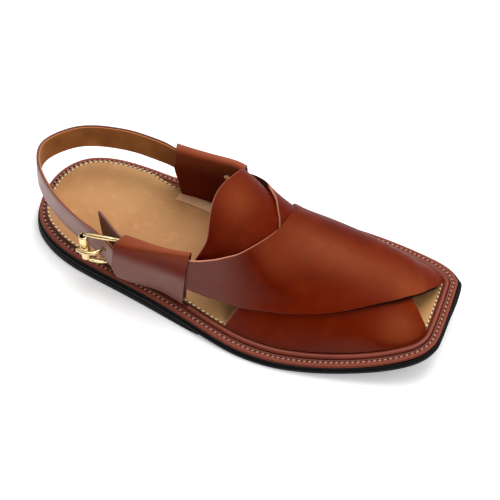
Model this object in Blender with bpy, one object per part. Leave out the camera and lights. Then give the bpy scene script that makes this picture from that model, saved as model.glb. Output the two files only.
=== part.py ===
"""Peshawari chappal, right shoe: an open leather sandal with two broad crossed
bands over a tongue, a folded keeper at each side, a back strap with a roller
buckle, and a leather-and-rubber sole.

Shoe axes while drawing, in millimetres: x runs from the back of the heel to the
toe, -y is the outer (lateral) side, +y the inner (medial) side, z is up from the
ground. At the end everything is centred on its own footprint.
"""
import math
import bpy
import bmesh
import numpy as np

for ob in list(bpy.data.objects):
    bpy.data.objects.remove(ob, do_unlink=True)

# ---------------------------------------------------------------- driving sizes
LENGTH = 288.0            # heel to toe of the sole
SOLE_T = 5.0              # black rubber outsole
WELT_T = 3.0              # leather midsole that carries the braid and stitches
INSOLE_T = 2.2            # tan footbed
HEEL_H = 5.0              # extra rubber under the heel
TOE_SPRING = 18.0         # rise of the tip
SPRING_FROM = 0.625       # fraction of the length where the rise starts
GAP = 0.3                 # clearance between pieces that lie on each other
FEATHER = 14.2            # inset of the line where the upper meets the footbed
LEATHER = 2.4             # one band of the upper, lined
STRAP_W, STRAP_T = 19.5, 2.4
WIRE_R = 1.1              # buckle wire
ROLLER_R, ROLLER_BORE = 3.3, 2.3

# Footprint of the sole: a row per section from heel to toe.
#        x     lateral  medial
SOLE = [(0.3,   3.4,  14.5), (1.5,   -4.5,  22.0), (4.0,  -12.0,  29.7),
        (9.0, -19.5,  38.0), (16.0, -25.5,  44.8), (26.0, -31.4,  49.8),
        (40.0, -36.5, 52.9), (58.0, -40.3,  53.5), (80.0, -44.1,  52.6),
        (102.0, -48.4, 53.2), (124.0, -53.0, 55.5), (146.0, -58.1, 58.6),
        (168.0, -61.5, 60.9), (188.0, -61.5, 62.0), (206.0, -58.8, 61.8),
        (224.0, -54.5, 60.4), (242.0, -49.0, 57.0), (258.0, -42.8, 52.5),
        (270.0, -36.8, 47.9), (279.0, -30.8, 42.5), (285.0, -22.9, 36.1),
        (287.6, -11.5, 29.0)]

# Foot form that the upper is drawn over: a row per section. Each side climbs from
# the feather line to the ridge; low = how high the side wall stands, high = how
# far out the shoulder stays, lean = how much the wall leans in (- = out).
#        x     ridge z  y   | lateral low  high  lean | medial low  high  lean
FORM = [(68.0,  70.0, 5.0,   .950, .510, -.600,   .620, 1.100, -.200),
        (76.0,  72.0, 5.0,   .915, .616, -.488,   .620, 1.100, -.180),
        (100.0, 76.0, 5.0,   .700, .776, -.190,   .550, 1.120, -.120),
        (126.0, 78.3, 5.0,   .660, .648,  .023,   .657,  .936, -.149),
        (148.0, 63.5, 6.0,   .554, .404,  .288,   .746,  .583,  .079),
        (172.0, 53.2, 8.0,   .542, .413,  .290,   .586,  .490,  .227),
        (198.0, 47.6, 10.0,  .590, .481,  .227,   .561,  .515,  .231),
        (224.0, 42.6, 11.0,  .640, .549,  .169,   .541,  .539,  .245),
        (246.0, 39.5, 12.0,  .640, .549,  .169,   .541,  .539,  .245),
        (262.0, 36.5, 12.0,  .640, .549,  .169,   .541,  .539,  .245),
        (270.0, 33.5, 12.0,  .640, .549,  .169,   .541,  .539,  .245),
        (274.0, 31.0, 12.0,  .640, .549,  .169,   .541,  .539,  .245)]

# Edges of the panels on the form: (station along the shoe, place across it),
# across runs from -1 at the lateral feather line to +1 at the medial one.
TOP_BAND_REAR = [(108, -.665), (122.8, -.650), (133.7, -.585), (141.3, -.517),
                 (149.4, -.432), (158.8, -.269), (166.1, -.086), (168.7, .077),
                 (169.9, .280), (169.2, .484), (166.5, .634), (164.5, .770), (162.8, 1.0)]
TOP_BAND_FRONT = [(108, -.880), (126.6, -.874), (141.8, -.857), (158.0, -.831),
                  (175.1, -.769), (188.2, -.728), (202.3, -.670), (216.9, -.599),
                  (230.5, -.508), (243.5, -.408), (253.6, -.318), (259.8, -.226),
                  (263.6, -.135), (268.4, .005), (272.6, .224), (278.1, .767), (284.0, .900)]
UNDER_BAND_REAR = [(112, .690), (128.6, .655), (136.2, .625), (144.0, .553),
                   (155.8, .345), (161.3, .160), (165.0, .040), (168.0, -.080),
                   (172.0, -.260), (172.5, -.420), (169.5, -.600), (165.0, -.720),
                   (158.8, -.849), (153.7, -1.0)]
UNDER_BAND_FRONT = [(112, .900), (130.4, .918), (142.3, .868), (153.9, .826),
                    (164.5, .778), (185.0, .700), (205.0, .580), (225.0, .420),
                    (243.0, .200), (255.0, -.050), (261.8, -.239), (268.4, -.402),
                    (276.7, -.693), (284.0, -.800)]
TONGUE_REAR = [(124.0, -.800), (125.1, -.660), (127.4, -.560), (128.8, -.460),
               (127.6, -.345), (126.0, -.236), (125.1, -.145), (124.8, -.072),
               (125.3, .002), (126.3, .068), (127.7, .130), (129.1, .208),
               (130.1, .328), (130.6, .450), (130.8, .640), (130.8, .800)]
TONGUE_FRONT = [(150, -.80), (160, -.50), (175, -.20), (181, 0.0), (175, .20),
                (160, .50), (150, .80)]

# Side keepers, each a strip folded over on itself: crest of the fold, and how far
# its two legs are spread at the back where strap and buckle go in.
#                 crest x,z back   front        spread out, in  flare  front edge
EAR_LATERAL = dict(side=-1, crest=((78.8, 55.0), (123.4, 56.0)), out=1.6, inn=4.0,
                   flare=5.0, front=124.0,
                   rear_outer=((0.0, 74.5), (.35, 70.8), (.62, 71.6), (.85, 74.5), (1.0, 79.3)),
                   rear_inner=((0.0, 78.0), (.35, 75.0), (.8, 76.0), (1.0, 79.3)))
EAR_MEDIAL = dict(side=1, crest=((82.7, 57.1), (129.6, 56.2)), out=0.6, inn=0.6,
                  flare=0.0, front=131.0,
                  rear_outer=((0.0, 84.0), (.45, 79.6), (1.0, 82.9)),
                  rear_inner=((0.0, 86.0), (.45, 80.5), (1.0, 82.9)))

# Back strap, outer face, top edge: heel loop from the medial to the lateral keeper.
#         x      y      z
STRAP = [(72.0, 48.4, 51.6), (62.0, 49.6, 51.0), (50.0, 49.8, 51.0), (38.0, 48.2, 51.2),
         (24.0, 44.0, 52.0), (12.0, 37.5, 52.7), (2.5, 28.0, 53.0), (-3.6, 18.0, 53.0),
         (-4.6, 9.0, 52.9), (-1.0, -1.0, 52.2), (6.5, -10.2, 50.8), (17.0, -18.5, 48.8),
         (30.0, -26.0, 47.0), (43.0, -31.5, 45.6), (54.0, -34.2, 43.6), (62.0, -37.3, 42.0)]


# ------------------------------------------------------------------ small helpers
def smoothstep(a, b, x):
    t = np.clip((np.asarray(x, float) - a) / (b - a), 0, 1)
    return t * t * (3 - 2 * t)


def ramp(x, a, b, r):
    """0 to 1 between a and b, with both corners rounded by r."""
    x = np.asarray(x, float)
    return np.mean([np.clip((x + d - a) / (b - a), 0, 1) for d in np.linspace(-r, r, 9)], axis=0)


def closed_spline(points, k=16):
    P = np.asarray(points, float)
    a, b, c = np.roll(P, 1, 0), np.roll(P, -1, 0), np.roll(P, -2, 0)
    out = [0.5 * (2 * P + (b - a) * t + (2 * a - 5 * P + 4 * b - c) * t * t
                  + (3 * P - 3 * b + c - a) * t ** 3) for t in np.linspace(0, 1, k, endpoint=False)]
    return np.stack(out, 1).reshape(-1, P.shape[1])


def open_spline(points, n, weight=None, k=12):
    """n points evenly spaced along a smooth curve through the given points."""
    P = np.asarray(points, float)
    P = np.vstack([2 * P[0] - P[1], P, 2 * P[-1] - P[-2]])
    out = []
    for i in range(1, len(P) - 2):
        p0, p1, p2, p3 = P[i - 1:i + 3]
        for t in np.linspace(0, 1, k, endpoint=False):
            out.append(0.5 * (2 * p1 + (p2 - p0) * t + (2 * p0 - 5 * p1 + 4 * p2 - p3) * t * t
                              + (3 * p1 - 3 * p2 + p3 - p0) * t ** 3))
    out = np.array(out + [P[-2]])
    w = np.ones(out.shape[1]) if weight is None else np.asarray(weight, float)
    s = np.concatenate([[0], np.cumsum(np.linalg.norm(np.diff(out * w, axis=0), axis=1))])
    u = np.linspace(0, s[-1], n)
    return np.stack([np.interp(u, s, out[:, j]) for j in range(out.shape[1])], -1)


# ------------------------------------------------------------------ sole outlines
def even(P, n, passes=0):
    q = np.vstack([P, P[:1]])
    s = np.concatenate([[0], np.cumsum(np.linalg.norm(np.diff(q, axis=0), axis=1))])
    u = np.linspace(0, s[-1], n, endpoint=False)
    r = np.stack([np.interp(u, s, q[:, 0]), np.interp(u, s, q[:, 1])], -1)
    for _ in range(passes):
        r = 0.25 * np.roll(r, 1, 0) + 0.5 * r + 0.25 * np.roll(r, -1, 0)
    return r


def outline(inset=0.0, n=1440):
    """The footprint, or a line a given inset inside it."""
    P = closed_spline([(r[0], r[1]) for r in SOLE] + [(r[0], r[2]) for r in SOLE][::-1])
    for _ in range(20):
        P = 0.25 * np.roll(P, 1, 0) + 0.5 * P + 0.25 * np.roll(P, -1, 0)
    r = even(P, n)
    if inset <= 0:
        return r
    t = np.roll(r, -1, 0) - np.roll(r, 1, 0)
    t /= np.linalg.norm(t, axis=1, keepdims=True)
    o = r + np.stack([-t[:, 1], t[:, 0]], -1) * inset
    near = np.array([np.min(np.hypot(*(r - p).T)) for p in o])
    return even(o[near > inset - .03], n, 12)


def halves(loop):
    """Lateral and medial side of a closed outline, both from heel to toe."""
    i, j = int(loop[:, 0].argmin()), int(loop[:, 0].argmax())

    def arc(a, b):
        return loop[a:b + 1] if a <= b else np.vstack([loop[a:], loop[:b + 1]])
    return arc(i, j), arc(j, i)[::-1]


def along(chain, x):
    return np.interp(x, chain[:, 0], chain[:, 1])


def z_out(x):
    """Top of the rubber outsole: raised heel, flat tread, toe spring."""
    x = np.asarray(x, float)
    return (SOLE_T + HEEL_H * (1 - ramp(x, 102, 162, 5))
            + TOE_SPRING * np.clip((x / LENGTH - SPRING_FROM) / (1 - SPRING_FROM), 0, 1.05) ** 2)


def z_welt(x):
    return z_out(x) + WELT_T


def z_ins(x):
    return z_welt(x) + INSOLE_T


# ------------------------------------------------------------------ the foot form
LAT, MED = halves(outline(FEATHER))
TIP = float(min(LAT[-1, 0], MED[-1, 0]))
TOE_R, TOE_RUN = 16.0, 25.0            # the form rounds down over its last 16 mm
T_BEND, T_END = TIP - TOE_R, TIP - TOE_R + TOE_RUN


def smoothed(table, n=170, passes=60):
    T = np.asarray(table, float)
    xs = np.linspace(T[0, 0], T[-1, 0], n)
    out = [xs]
    for j in range(1, T.shape[1]):
        y = np.interp(xs, T[:, 0], T[:, j])
        for _ in range(passes):
            z = y.copy()
            z[1:-1] = .25 * y[:-2] + .5 * y[1:-1] + .25 * y[2:]
            y = z
        out.append(y)
    return np.stack(out, -1)


FORM_S = smoothed(FORM)


def x_of(t):
    """Real x of station t; past the bend, stations run down the toe's round."""
    t = np.asarray(t, float)
    a = .5 * np.pi * np.clip(1 - (t - T_BEND) / TOE_RUN, 0, 1)
    return np.where(t <= T_BEND, t, TIP - TOE_R * (1 - np.cos(a)))


def form(t, s):
    t, s = np.broadcast_arrays(np.asarray(t, float), np.asarray(s, float))
    x = x_of(t)
    rz, ry, a1, a2, ag, b1, b2, bg = [np.interp(x, FORM_S[:, 0], FORM_S[:, j]) for j in range(1, 9)]
    zf = z_ins(x) + GAP
    a = .5 * np.pi * np.clip(1 - (t - T_BEND) / TOE_RUN, 0, 1)
    H = np.maximum(rz - zf, 0) * np.sin(a) ** .9
    lat = s < 0
    ye = np.where(lat, along(LAT, x), along(MED, x))
    low, high, lean = np.where(lat, a1, b1), np.where(lat, a2, b2), np.where(lat, ag, bg)
    w = 1 - np.abs(s)
    u = 1 - w
    y = ry + (ye - ry) * (u ** 3 + 3 * w * u * u * (1 - lean) + 3 * w * w * u * high)
    z = zf + H * (3 * w * u * u * low + 3 * w * w * u + w ** 3)
    return np.stack([x, y, z], -1)


def axes(t, s):
    """Outward direction, level near the feather line, and the way up the side."""
    t, s = np.broadcast_arrays(np.asarray(t, float), np.asarray(s, float))
    dt = form(np.minimum(t + .4, T_END), s) - form(np.minimum(t, T_END - .4) - .4, s)
    ds = form(t, np.clip(s + .004, -1, 1)) - form(t, np.clip(s - .004, -1, 1))
    n = np.cross(dt, ds)
    n /= np.linalg.norm(n, axis=-1, keepdims=True) + 1e-12
    n[..., 2] *= smoothstep(0, .16, 1 - np.abs(s)) * smoothstep(0, 12, T_END - t)
    n /= np.linalg.norm(n, axis=-1, keepdims=True) + 1e-12
    up = ds * np.where(s < 0, 1, -1)[..., None]
    up /= np.linalg.norm(up, axis=-1, keepdims=True) + 1e-12
    return n, up


def skin(t, s, off):
    """Point a given distance outside the form; its foot follows the footbed's rise."""
    t, s = np.broadcast_arrays(np.asarray(t, float), np.asarray(s, float))
    n, _ = axes(t, s)
    P = form(t, s)
    Q = P + n * np.broadcast_to(np.asarray(off, float), n.shape[:-1])[..., None]
    foot = 1 - smoothstep(0, .3, 1 - np.abs(s)) * smoothstep(0, 14, T_END - t)
    Q[..., 2] += foot * (z_ins(Q[..., 0]) - z_ins(P[..., 0]))
    return Q


def across_at(t, side, off, z):
    """Place across the form where its skin, off outside, reaches height z."""
    s = np.linspace(1, .45, 111)
    P = skin(np.full_like(s, t), side * s, off)
    return side * float(np.interp(z, np.maximum.accumulate(P[:, 2]), s))


# ------------------------------------------------------------------- mesh makers
def link(name, verts, faces, material, smooth=30.0):
    me = bpy.data.meshes.new(name)
    me.from_pydata([tuple(float(c) * 0.001 for c in v) for v in verts], [], faces)
    bm = bmesh.new()
    bm.from_mesh(me)
    bmesh.ops.remove_doubles(bm, verts=bm.verts, dist=1e-6)
    bmesh.ops.dissolve_degenerate(bm, edges=bm.edges, dist=1e-7)
    bmesh.ops.recalc_face_normals(bm, faces=bm.faces)
    if bm.calc_volume(signed=True) < 0:
        bmesh.ops.reverse_faces(bm, faces=bm.faces)
    bmesh.ops.triangulate(bm, faces=bm.faces)
    bm.to_mesh(me)
    bm.free()
    me.shade_smooth()
    me.set_sharp_from_angle(angle=math.radians(smooth))
    me.materials.append(material)
    ob = bpy.data.objects.new(name, me)
    bpy.context.scene.collection.objects.link(ob)
    return ob


def slab(name, top, bottom, material):
    """Closed solid between two grids of points with the same rows and columns."""
    top, bottom = np.asarray(top, float), np.asarray(bottom, float)
    n, m = top.shape[:2]
    verts = np.vstack([top.reshape(-1, 3), bottom.reshape(-1, 3)])
    N = n * m
    faces = []
    for i in range(n - 1):
        for j in range(m - 1):
            a, b, c, d = i * m + j, (i + 1) * m + j, (i + 1) * m + j + 1, i * m + j + 1
            faces += [(a, b, c, d), (N + a, N + d, N + c, N + b)]
    rim = ([(i, 0) for i in range(n)] + [(n - 1, j) for j in range(1, m)]
           + [(i, m - 1) for i in range(n - 2, -1, -1)] + [(0, j) for j in range(m - 2, 0, -1)])
    ids = [i * m + j for i, j in rim]
    for a, b in zip(ids, ids[1:] + ids[:1]):
        faces.append((b, a, N + a, N + b))
    return link(name, verts, faces, material)


def sweep(name, rings, material):
    """Closed solid through a row of closed rings, capped at both ends."""
    R = np.asarray(rings, float)
    n, m = R.shape[:2]
    faces = [tuple(range(m - 1, -1, -1)), tuple((n - 1) * m + k for k in range(m))]
    for i in range(n - 1):
        for k in range(m):
            a, b = i * m + k, i * m + (k + 1) % m
            faces.append((a, b, b + m, a + m))
    return link(name, R.reshape(-1, 3), faces, material)


def wire(name, points, radius, material, cyclic=False):
    """Round wire as a bevelled curve."""
    cu = bpy.data.curves.new(name, 'CURVE')
    cu.dimensions = '3D'
    cu.bevel_depth = radius * 0.001
    cu.bevel_resolution = 2
    cu.use_fill_caps = not cyclic
    sp = cu.splines.new('POLY')
    sp.points.add(len(points) - 1)
    for p, q in zip(sp.points, points):
        p.co = (q[0] * 0.001, q[1] * 0.001, q[2] * 0.001, 1)
    sp.use_cyclic_u = cyclic
    cu.materials.append(material)
    ob = bpy.data.objects.new(name, cu)
    bpy.context.scene.collection.objects.link(ob)
    return ob


def material(name, colour, rough, metal=0.0):
    mt = bpy.data.materials.new(name)
    mt.use_nodes = True
    b = mt.node_tree.nodes["Principled BSDF"]
    b.inputs["Base Color"].default_value = (*colour, 1)
    b.inputs["Roughness"].default_value = rough
    b.inputs["Metallic"].default_value = metal
    return mt


LEATHER_M = material("red_brown_leather", (.20, .045, .018), .42)
INSOLE_M = material("tan_leather", (.50, .27, .11), .6)
WELT_M = material("welt_leather", (.27, .075, .035), .5)
RUBBER_M = material("black_rubber", (.012, .014, .013), .6)
BRASS_M = material("brass", (.80, .62, .32), .25, 1.0)

# ------------------------------------------------------------------------- sole
STATIONS = np.concatenate([[0, .25, 1.0, 2.4, 4.6, 8, 13, 19, 27, 36], np.arange(46, 166, 10),
                           [167, 180], np.arange(188, 262, 8), [266, 271, 275.5, 279.5, 283, 285.4, 287, 287.8, 288.1]])


def stations(chain_l, chain_m, x0=None, x1=None):
    lo = max(chain_l[0, 0], chain_m[0, 0]) if x0 is None else x0
    hi = min(chain_l[-1, 0], chain_m[-1, 0]) if x1 is None else x1
    f = STATIONS / STATIONS[-1]
    inner = lo + (hi - lo) * f
    keep = STATIONS[(STATIONS > lo + 12) & (STATIONS < hi - 24)]
    ends = inner[(inner <= lo + 12) | (inner >= hi - 24)]
    return np.unique(np.concatenate([ends, keep, [lo, hi]]).round(3))


def plate(name, inset, z_bottom, z_top, mat, chains=None):
    cl, cm = chains or halves(outline(inset))
    x = stations(cl, cm)
    rows = lambda z: np.stack([np.stack([x, along(cl, x), z(x)], -1),
                               np.stack([x, along(cm, x), z(x)], -1)], 1)
    return slab(name, rows(z_top), rows(z_bottom), mat)


plate("outsole", 0.0, lambda x: z_out(x) - SOLE_T, z_out, RUBBER_M)
plate("midsole", 0.3, lambda x: z_out(x) + GAP, z_welt, WELT_M)

# Heel piece: full height at the back, its front edge slanting down to the ground.
cl, cm = halves(outline(0.6))
f = np.concatenate([[0, .002, .008, .02, .04, .07, .11, .17, .24], np.linspace(.32, .92, 9), [1.0]])
x0 = max(cl[0, 0], cm[0, 0])
top_l, top_m = x0 + (138 - x0) * f, x0 + (103 - x0) * f
bot_l, bot_m = x0 + (112 - x0) * f, x0 + (89 - x0) * f
lid = lambda x: z_out(x) - SOLE_T - GAP
slab("heel_lift",
     np.stack([np.stack([top_l, along(cl, top_l), lid(top_l)], -1),
               np.stack([top_m, along(cm, top_m), lid(top_m)], -1)], 1),
     np.stack([np.stack([bot_l, along(cl, bot_l), 0 * f], -1),
               np.stack([bot_m, along(cm, bot_m), 0 * f], -1)], 1), RUBBER_M)

# Footbed: close to the edge round the heel, further in under the upper.
n_in = 1440
wide, narrow = outline(5.2, n_in), outline(9.8, n_in)
wl, wm = halves(wide)
nl, nm = halves(narrow)
xs = np.linspace(max(wl[0, 0], wm[0, 0]), min(nl[-1, 0], nm[-1, 0]), 900)
k = smoothstep(62, 78, xs)
ins_l = np.stack([xs, along(wl, xs) * (1 - k) + along(nl, xs) * k], -1)
ins_m = np.stack([xs, along(wm, xs) * (1 - k) + along(nm, xs) * k], -1)
xe = np.concatenate([xs[0] + (wl[1:60, 0] - wl[0, 0])])
plate("insole", 0, lambda x: z_welt(x) + GAP, z_ins, INSOLE_M, chains=(ins_l, ins_m))

# Rolled piping round the forefoot, from the lateral keeper over the toe to the medial one.
loop = outline(7.6, 1440)
pl, pm = halves(loop)
path = np.vstack([pl[pl[:, 0] > 125.5], pm[pm[:, 0] > 134.0][::-1]])
path = open_spline(path[::8], 78)
path = np.column_stack([path, z_welt(path[:, 0])])
tang = np.gradient(path[:, :2], axis=0)
tang /= np.linalg.norm(tang, axis=1, keepdims=True)
side = np.stack([-tang[:, 1], tang[:, 0]], -1)
section = [(-1.7, .3), (-1.85, 1.0), (-1.3, 1.75), (-.3, 2.15), (.6, 2.1), (1.4, 1.7), (1.8, 1.0), (1.7, .3)]
rings = [[(p[0] + q[0] * a, p[1] + q[1] * a, float(z_welt(p[0] + q[0] * a)) + h) for a, h in section]
         for p, q in zip(path, side)]
sweep("piping", rings, WELT_M)


# ------------------------------------------------------------------------ upper
ACROSS = 60.0                          # one unit across is about 60 mm of leather


def patch(rear, front, nu, nv, foot):
    """Grid of (station, across) between a panel's rear and front edge."""
    w = (1.0, ACROSS)
    R, F = open_spline(rear, nu, w), open_spline(front, nu, w)
    R[:, 1], F[:, 1] = np.clip(R[:, 1], -1, 1), np.clip(F[:, 1], -1, 1)
    a = np.linspace(0, 1, nv)[:, None]
    E0 = R[0] * (1 - a) + F[0] * a
    E1 = open_spline(foot, nv, w) if len(foot) > 2 else R[-1] * (1 - a) + F[-1] * a
    E1[0], E1[-1] = R[-1], F[-1]
    E1[:, 1] = np.clip(E1[:, 1], -1, 1)
    u = np.linspace(0, 1, nu)[:, None, None]
    v = np.linspace(0, 1, nv)[None, :, None]
    return ((1 - v) * R[:, None] + v * F[:, None] + (1 - u) * E0[None] + u * E1[None]
            - ((1 - u) * (1 - v) * R[0] + u * (1 - v) * R[-1] + (1 - u) * v * F[0] + u * v * F[-1]))


def foot_line(t0, side, end):
    """The edge that stands on the sole, along the feather line to the toe."""
    ts = np.concatenate([np.linspace(t0, T_BEND, 14), np.linspace(T_BEND + 4, T_END - 2.5, 6)])
    return [(t, side) for t in ts] + [(T_END - .8, side * (1 + abs(end)) / 2), (T_END - .6, end)]


def across_of_under_front(t):
    F = np.asarray(UNDER_BAND_FRONT, float)
    return np.interp(t, F[:, 0], F[:, 1])


def band_top(t, s):
    """Height of the top band's face over the form: it steps down past the under band."""
    edge = across_of_under_front(t)
    full = edge + .28 + (.72 - edge) * (1 - smoothstep(248, 268, t))
    drop = 1.9 * smoothstep(edge + .03, full, s) * smoothstep(138, 142, t)
    return 6.3 - drop


def band_under(t, s):
    """The under band rises to enter the medial keeper."""
    return 4.3 + 1.8 * (1 - smoothstep(132, 155, t)) * smoothstep(.3, .6, s)


G = patch(TOP_BAND_REAR, TOP_BAND_FRONT, 31, 20, foot_line(162.8, 1.0, .85))
t, s = G[..., 0], np.clip(G[..., 1], -1, 1)
o = band_top(t, s)
thick = LEATHER - .2 + .6 * smoothstep(128, 140, t)
upper = slab("upper", skin(t, s, o), skin(t, s, o - thick), LEATHER_M)

G = patch(UNDER_BAND_REAR, UNDER_BAND_FRONT, 27, 18, foot_line(153.7, -1.0, -.80))
t, s = G[..., 0], np.clip(G[..., 1], -1, 1)
o = band_under(t, s)
under = slab("under_band", skin(t, s, o), skin(t, s, o - 2.0), LEATHER_M)
under.hide_render = True
under.display_type = 'WIRE'
under.hide_viewport = False
join = upper.modifiers.new("sewn_together", 'BOOLEAN')
join.operation = 'UNION'
join.solver = 'EXACT'
join.object = under

# Tongue under both bands.
w = (1.0, ACROSS)
R, F = open_spline(TONGUE_REAR, 27, w), open_spline(TONGUE_FRONT, 27, w)
v = np.linspace(0, 1, 9)[None, :, None]
G = R[:, None] * (1 - v) + F[:, None] * v
slab("tongue", skin(G[..., 0], G[..., 1], 1.8), skin(G[..., 0], G[..., 1], 0.0), LEATHER_M)


# ---------------------------------------------------------------------- keepers
def spread(e, x):
    """How far the outer and inner leg stand apart from their closest."""
    k = 1 - smoothstep(78, 112, x)
    return e["out"] * k, e["inn"] * k


def ear(name, e, nx=11):
    side = e["side"]
    (cx0, cz0), (cx1, cz1) = e["crest"]
    ro, ri = np.array(e["rear_outer"]), np.array(e["rear_inner"])
    outer, inner = [], []
    for u in np.linspace(0, 1, nx):
        xc = cx0 + (e["front"] - cx0) * u
        wo, wi = spread(e, xc)
        mid = 5.2 + (wo - wi) / 2
        r = 1.5 + (wo + wi) / 2
        crest = np.interp(xc, [cx0, cx1], [cz0, cz1])
        s_top = across_at(xc, side, mid, crest - r - 1.7)
        ro_row, ri_row = [], []

        def leg(h, rear, o_out, o_in, flare):
            x = np.interp(h, rear[:, 0], rear[:, 1])
            x = x + (e["front"] - x) * u
            s = side * 1.0 + (s_top - side) * h
            fl = flare * (1 - smoothstep(72, 112, x)) * (1 - h) ** 1.5
            a, b = skin(x, s, o_out), skin(x, s, o_in)
            # legs are drawn square to the side so that both faces keep one station
            a[0] = b[0] = x
            a[1] += side * fl
            b[1] += side * fl
            return a, b
        for h in (0, .12, .3, .5, .7, .86):
            a, b = leg(h, ro, 8.4 + wo, 6.7 + wo, e["flare"])
            ro_row.append(a), ri_row.append(b)
        c = skin(xc, s_top, mid)
        n, up = axes(xc, s_top)
        n = np.array([0, n[1], n[2]]) / np.hypot(n[1], n[2])
        up = np.array([0, up[1], up[2]]) / np.hypot(up[1], up[2])
        c[0] = xc
        for a in np.radians([0, 30, 60, 90, 120, 150, 180]):
            t_out = 1.7 - .4 * a / np.pi
            rr = r + t_out
            ro_row.append(c + n * rr * np.cos(a) + up * rr * np.sin(a))
            ri_row.append(c + n * r * np.cos(a) + up * r * np.sin(a))
        for h in (.86, .68, .45, .22, 0):
            a, b = leg(h, ri, 3.7 - wi, 2.4 - wi, 0.0)
            ro_row.append(b), ri_row.append(a)
        outer.append(ro_row), inner.append(ri_row)
    return slab(name, outer, inner, LEATHER_M)


ear("ear_lateral", EAR_LATERAL)
ear("ear_medial", EAR_MEDIAL)


# ------------------------------------------------------------------- back strap
def in_ear(x, side, off, z):
    return float(skin(x, across_at(x, side, off, z), off)[1])


rows = []
for x in (102, 97, 92, 86, 80):                         # inside the medial keeper
    wo, _ = spread(EAR_MEDIAL, x)
    rows.append((x, in_ear(x, 1, 6.3 + wo * .5, 50), 52.0))
rows += STRAP
for x, z in ((70, 38.9), (76, 38.0), (84, 37.8), (92, 37.6)):   # inside the lateral keeper
    wo, _ = spread(EAR_LATERAL, x)
    rows.append((x, in_ear(x, -1, 6.3 + wo, 30), z))
P = open_spline(rows, 76)
tan = np.gradient(P[:, :2], axis=0)
tan /= np.linalg.norm(tan, axis=1, keepdims=True)
inward = np.stack([-tan[:, 1], tan[:, 0]], -1)           # towards the foot
half = len(P) // 2
outer, inner = [], []
for i, (p, q) in enumerate(zip(P, inward)):
    side = 1 if i < half else -1
    w = float(smoothstep(68, 80, p[0]))
    wo, _ = spread(EAR_MEDIAL if side > 0 else EAR_LATERAL, p[0])
    off = 6.3 + (wo * .5 if side > 0 else wo)
    o_row, i_row = [], []
    for v in np.linspace(0, 1, 4):
        z = p[2] - STRAP_W * v
        y = p[1]
        if w > 0 and side > 0:
            y += w * (in_ear(p[0], side, off, z) - in_ear(p[0], side, off, 50))
        o_row.append((p[0], y, z))
        i_row.append((p[0] + q[0] * STRAP_T, y + q[1] * STRAP_T, z))
    outer.append(o_row), inner.append(i_row)
strap = slab("heel_strap", outer, inner, LEATHER_M)

# --------------------------------------------------------------- roller buckle
ROLLER_TOP, ROLLER_END = np.array([49.7, -40.6, 44.6]), np.array([52.5, -41.6, 24.2])


def rounded(points, r, n=4):
    """Closed wire path with its corners turned on a radius."""
    P = [np.asarray(p, float) for p in points]
    out = []
    for i, p in enumerate(P):
        a, b = P[i - 1] - p, P[(i + 1) % len(P)] - p
        a /= np.linalg.norm(a)
        b /= np.linalg.norm(b)
        for k in np.linspace(0, 1, n):
            q = (1 - k) ** 2 * (p + a * r) + 2 * k * (1 - k) * p + k * k * (p + b * r)
            out.append(q)
    return out


ax = (ROLLER_TOP - ROLLER_END) / np.linalg.norm(ROLLER_TOP - ROLLER_END)
bar = np.array([.9, 0, 0])                 # the wire hangs at the front of the bore
frame_pts = [ROLLER_TOP + bar + ax * 1.6, (76.8, -37.1, 48.4), (76.8, -37.1, 19.2), (66.5, -35.0, 19.2),
             (62.0, -38.6, 19.9), ROLLER_END + bar - ax * 1.9]
wire("buckle_frame", rounded(frame_pts, 2.2), WIRE_R, BRASS_M, cyclic=True)

ringn = 20
e1 = np.cross(ax, (0, 1, 0))
e1 /= np.linalg.norm(e1)
e2 = np.cross(ax, e1)
L = np.linalg.norm(ROLLER_TOP - ROLLER_END)
profile = [(ROLLER_BORE, 0), (ROLLER_R - .3, 0), (ROLLER_R, .4), (ROLLER_R, L - .4), (ROLLER_R - .3, L), (ROLLER_BORE, L)]
verts, faces = [], []
for kx in range(ringn):
    a = 2 * np.pi * kx / ringn
    for r, h in profile:
        verts.append(ROLLER_END + ax * h + (e1 * np.cos(a) + e2 * np.sin(a)) * r)
m = len(profile)
for kx in range(ringn):
    for j in range(m):
        a, b = kx * m + j, kx * m + (j + 1) % m
        c, d = ((kx + 1) % ringn) * m + (j + 1) % m, ((kx + 1) % ringn) * m + j
        faces.append((a, b, c, d))
link("buckle_roller", verts, faces, BRASS_M)

# Prong: from behind the strap up through its hole and out over the roller.
PRONG = [(68.0, -34.7, 31.4), (66.4, -34.9, 32.0), (64.6, -35.6, 33.0), (62.2, -39.4, 34.2),
         (59.6, -43.4, 34.8), (55.6, -46.0, 34.9), (51.0, -46.3, 34.6), (46.6, -45.1, 34.2)]
prong = open_spline(PRONG, 22)
hole_from, hole_to = np.array(PRONG[2]), np.array(PRONG[3])
way = (hole_to - hole_from) / np.linalg.norm(hole_to - hole_from)
u1 = np.cross(way, (0, 0, 1.0))
u1 /= np.linalg.norm(u1)
u2 = np.cross(way, u1)
punch = sweep("strap_hole", [[c + (u1 * np.cos(a) + u2 * np.sin(a)) * 1.6
                              for a in np.linspace(0, 2 * np.pi, 12, endpoint=False)]
                             for c in (hole_from - way * 1.5, hole_to + way * 1.5)], BRASS_M)
punch.hide_render = True
punch.display_type = 'WIRE'
cut = strap.modifiers.new("prong_hole", 'BOOLEAN')
cut.operation = 'DIFFERENCE'
cut.solver = 'EXACT'
cut.object = punch
wire("buckle_prong", prong, 1.0, BRASS_M)

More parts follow.
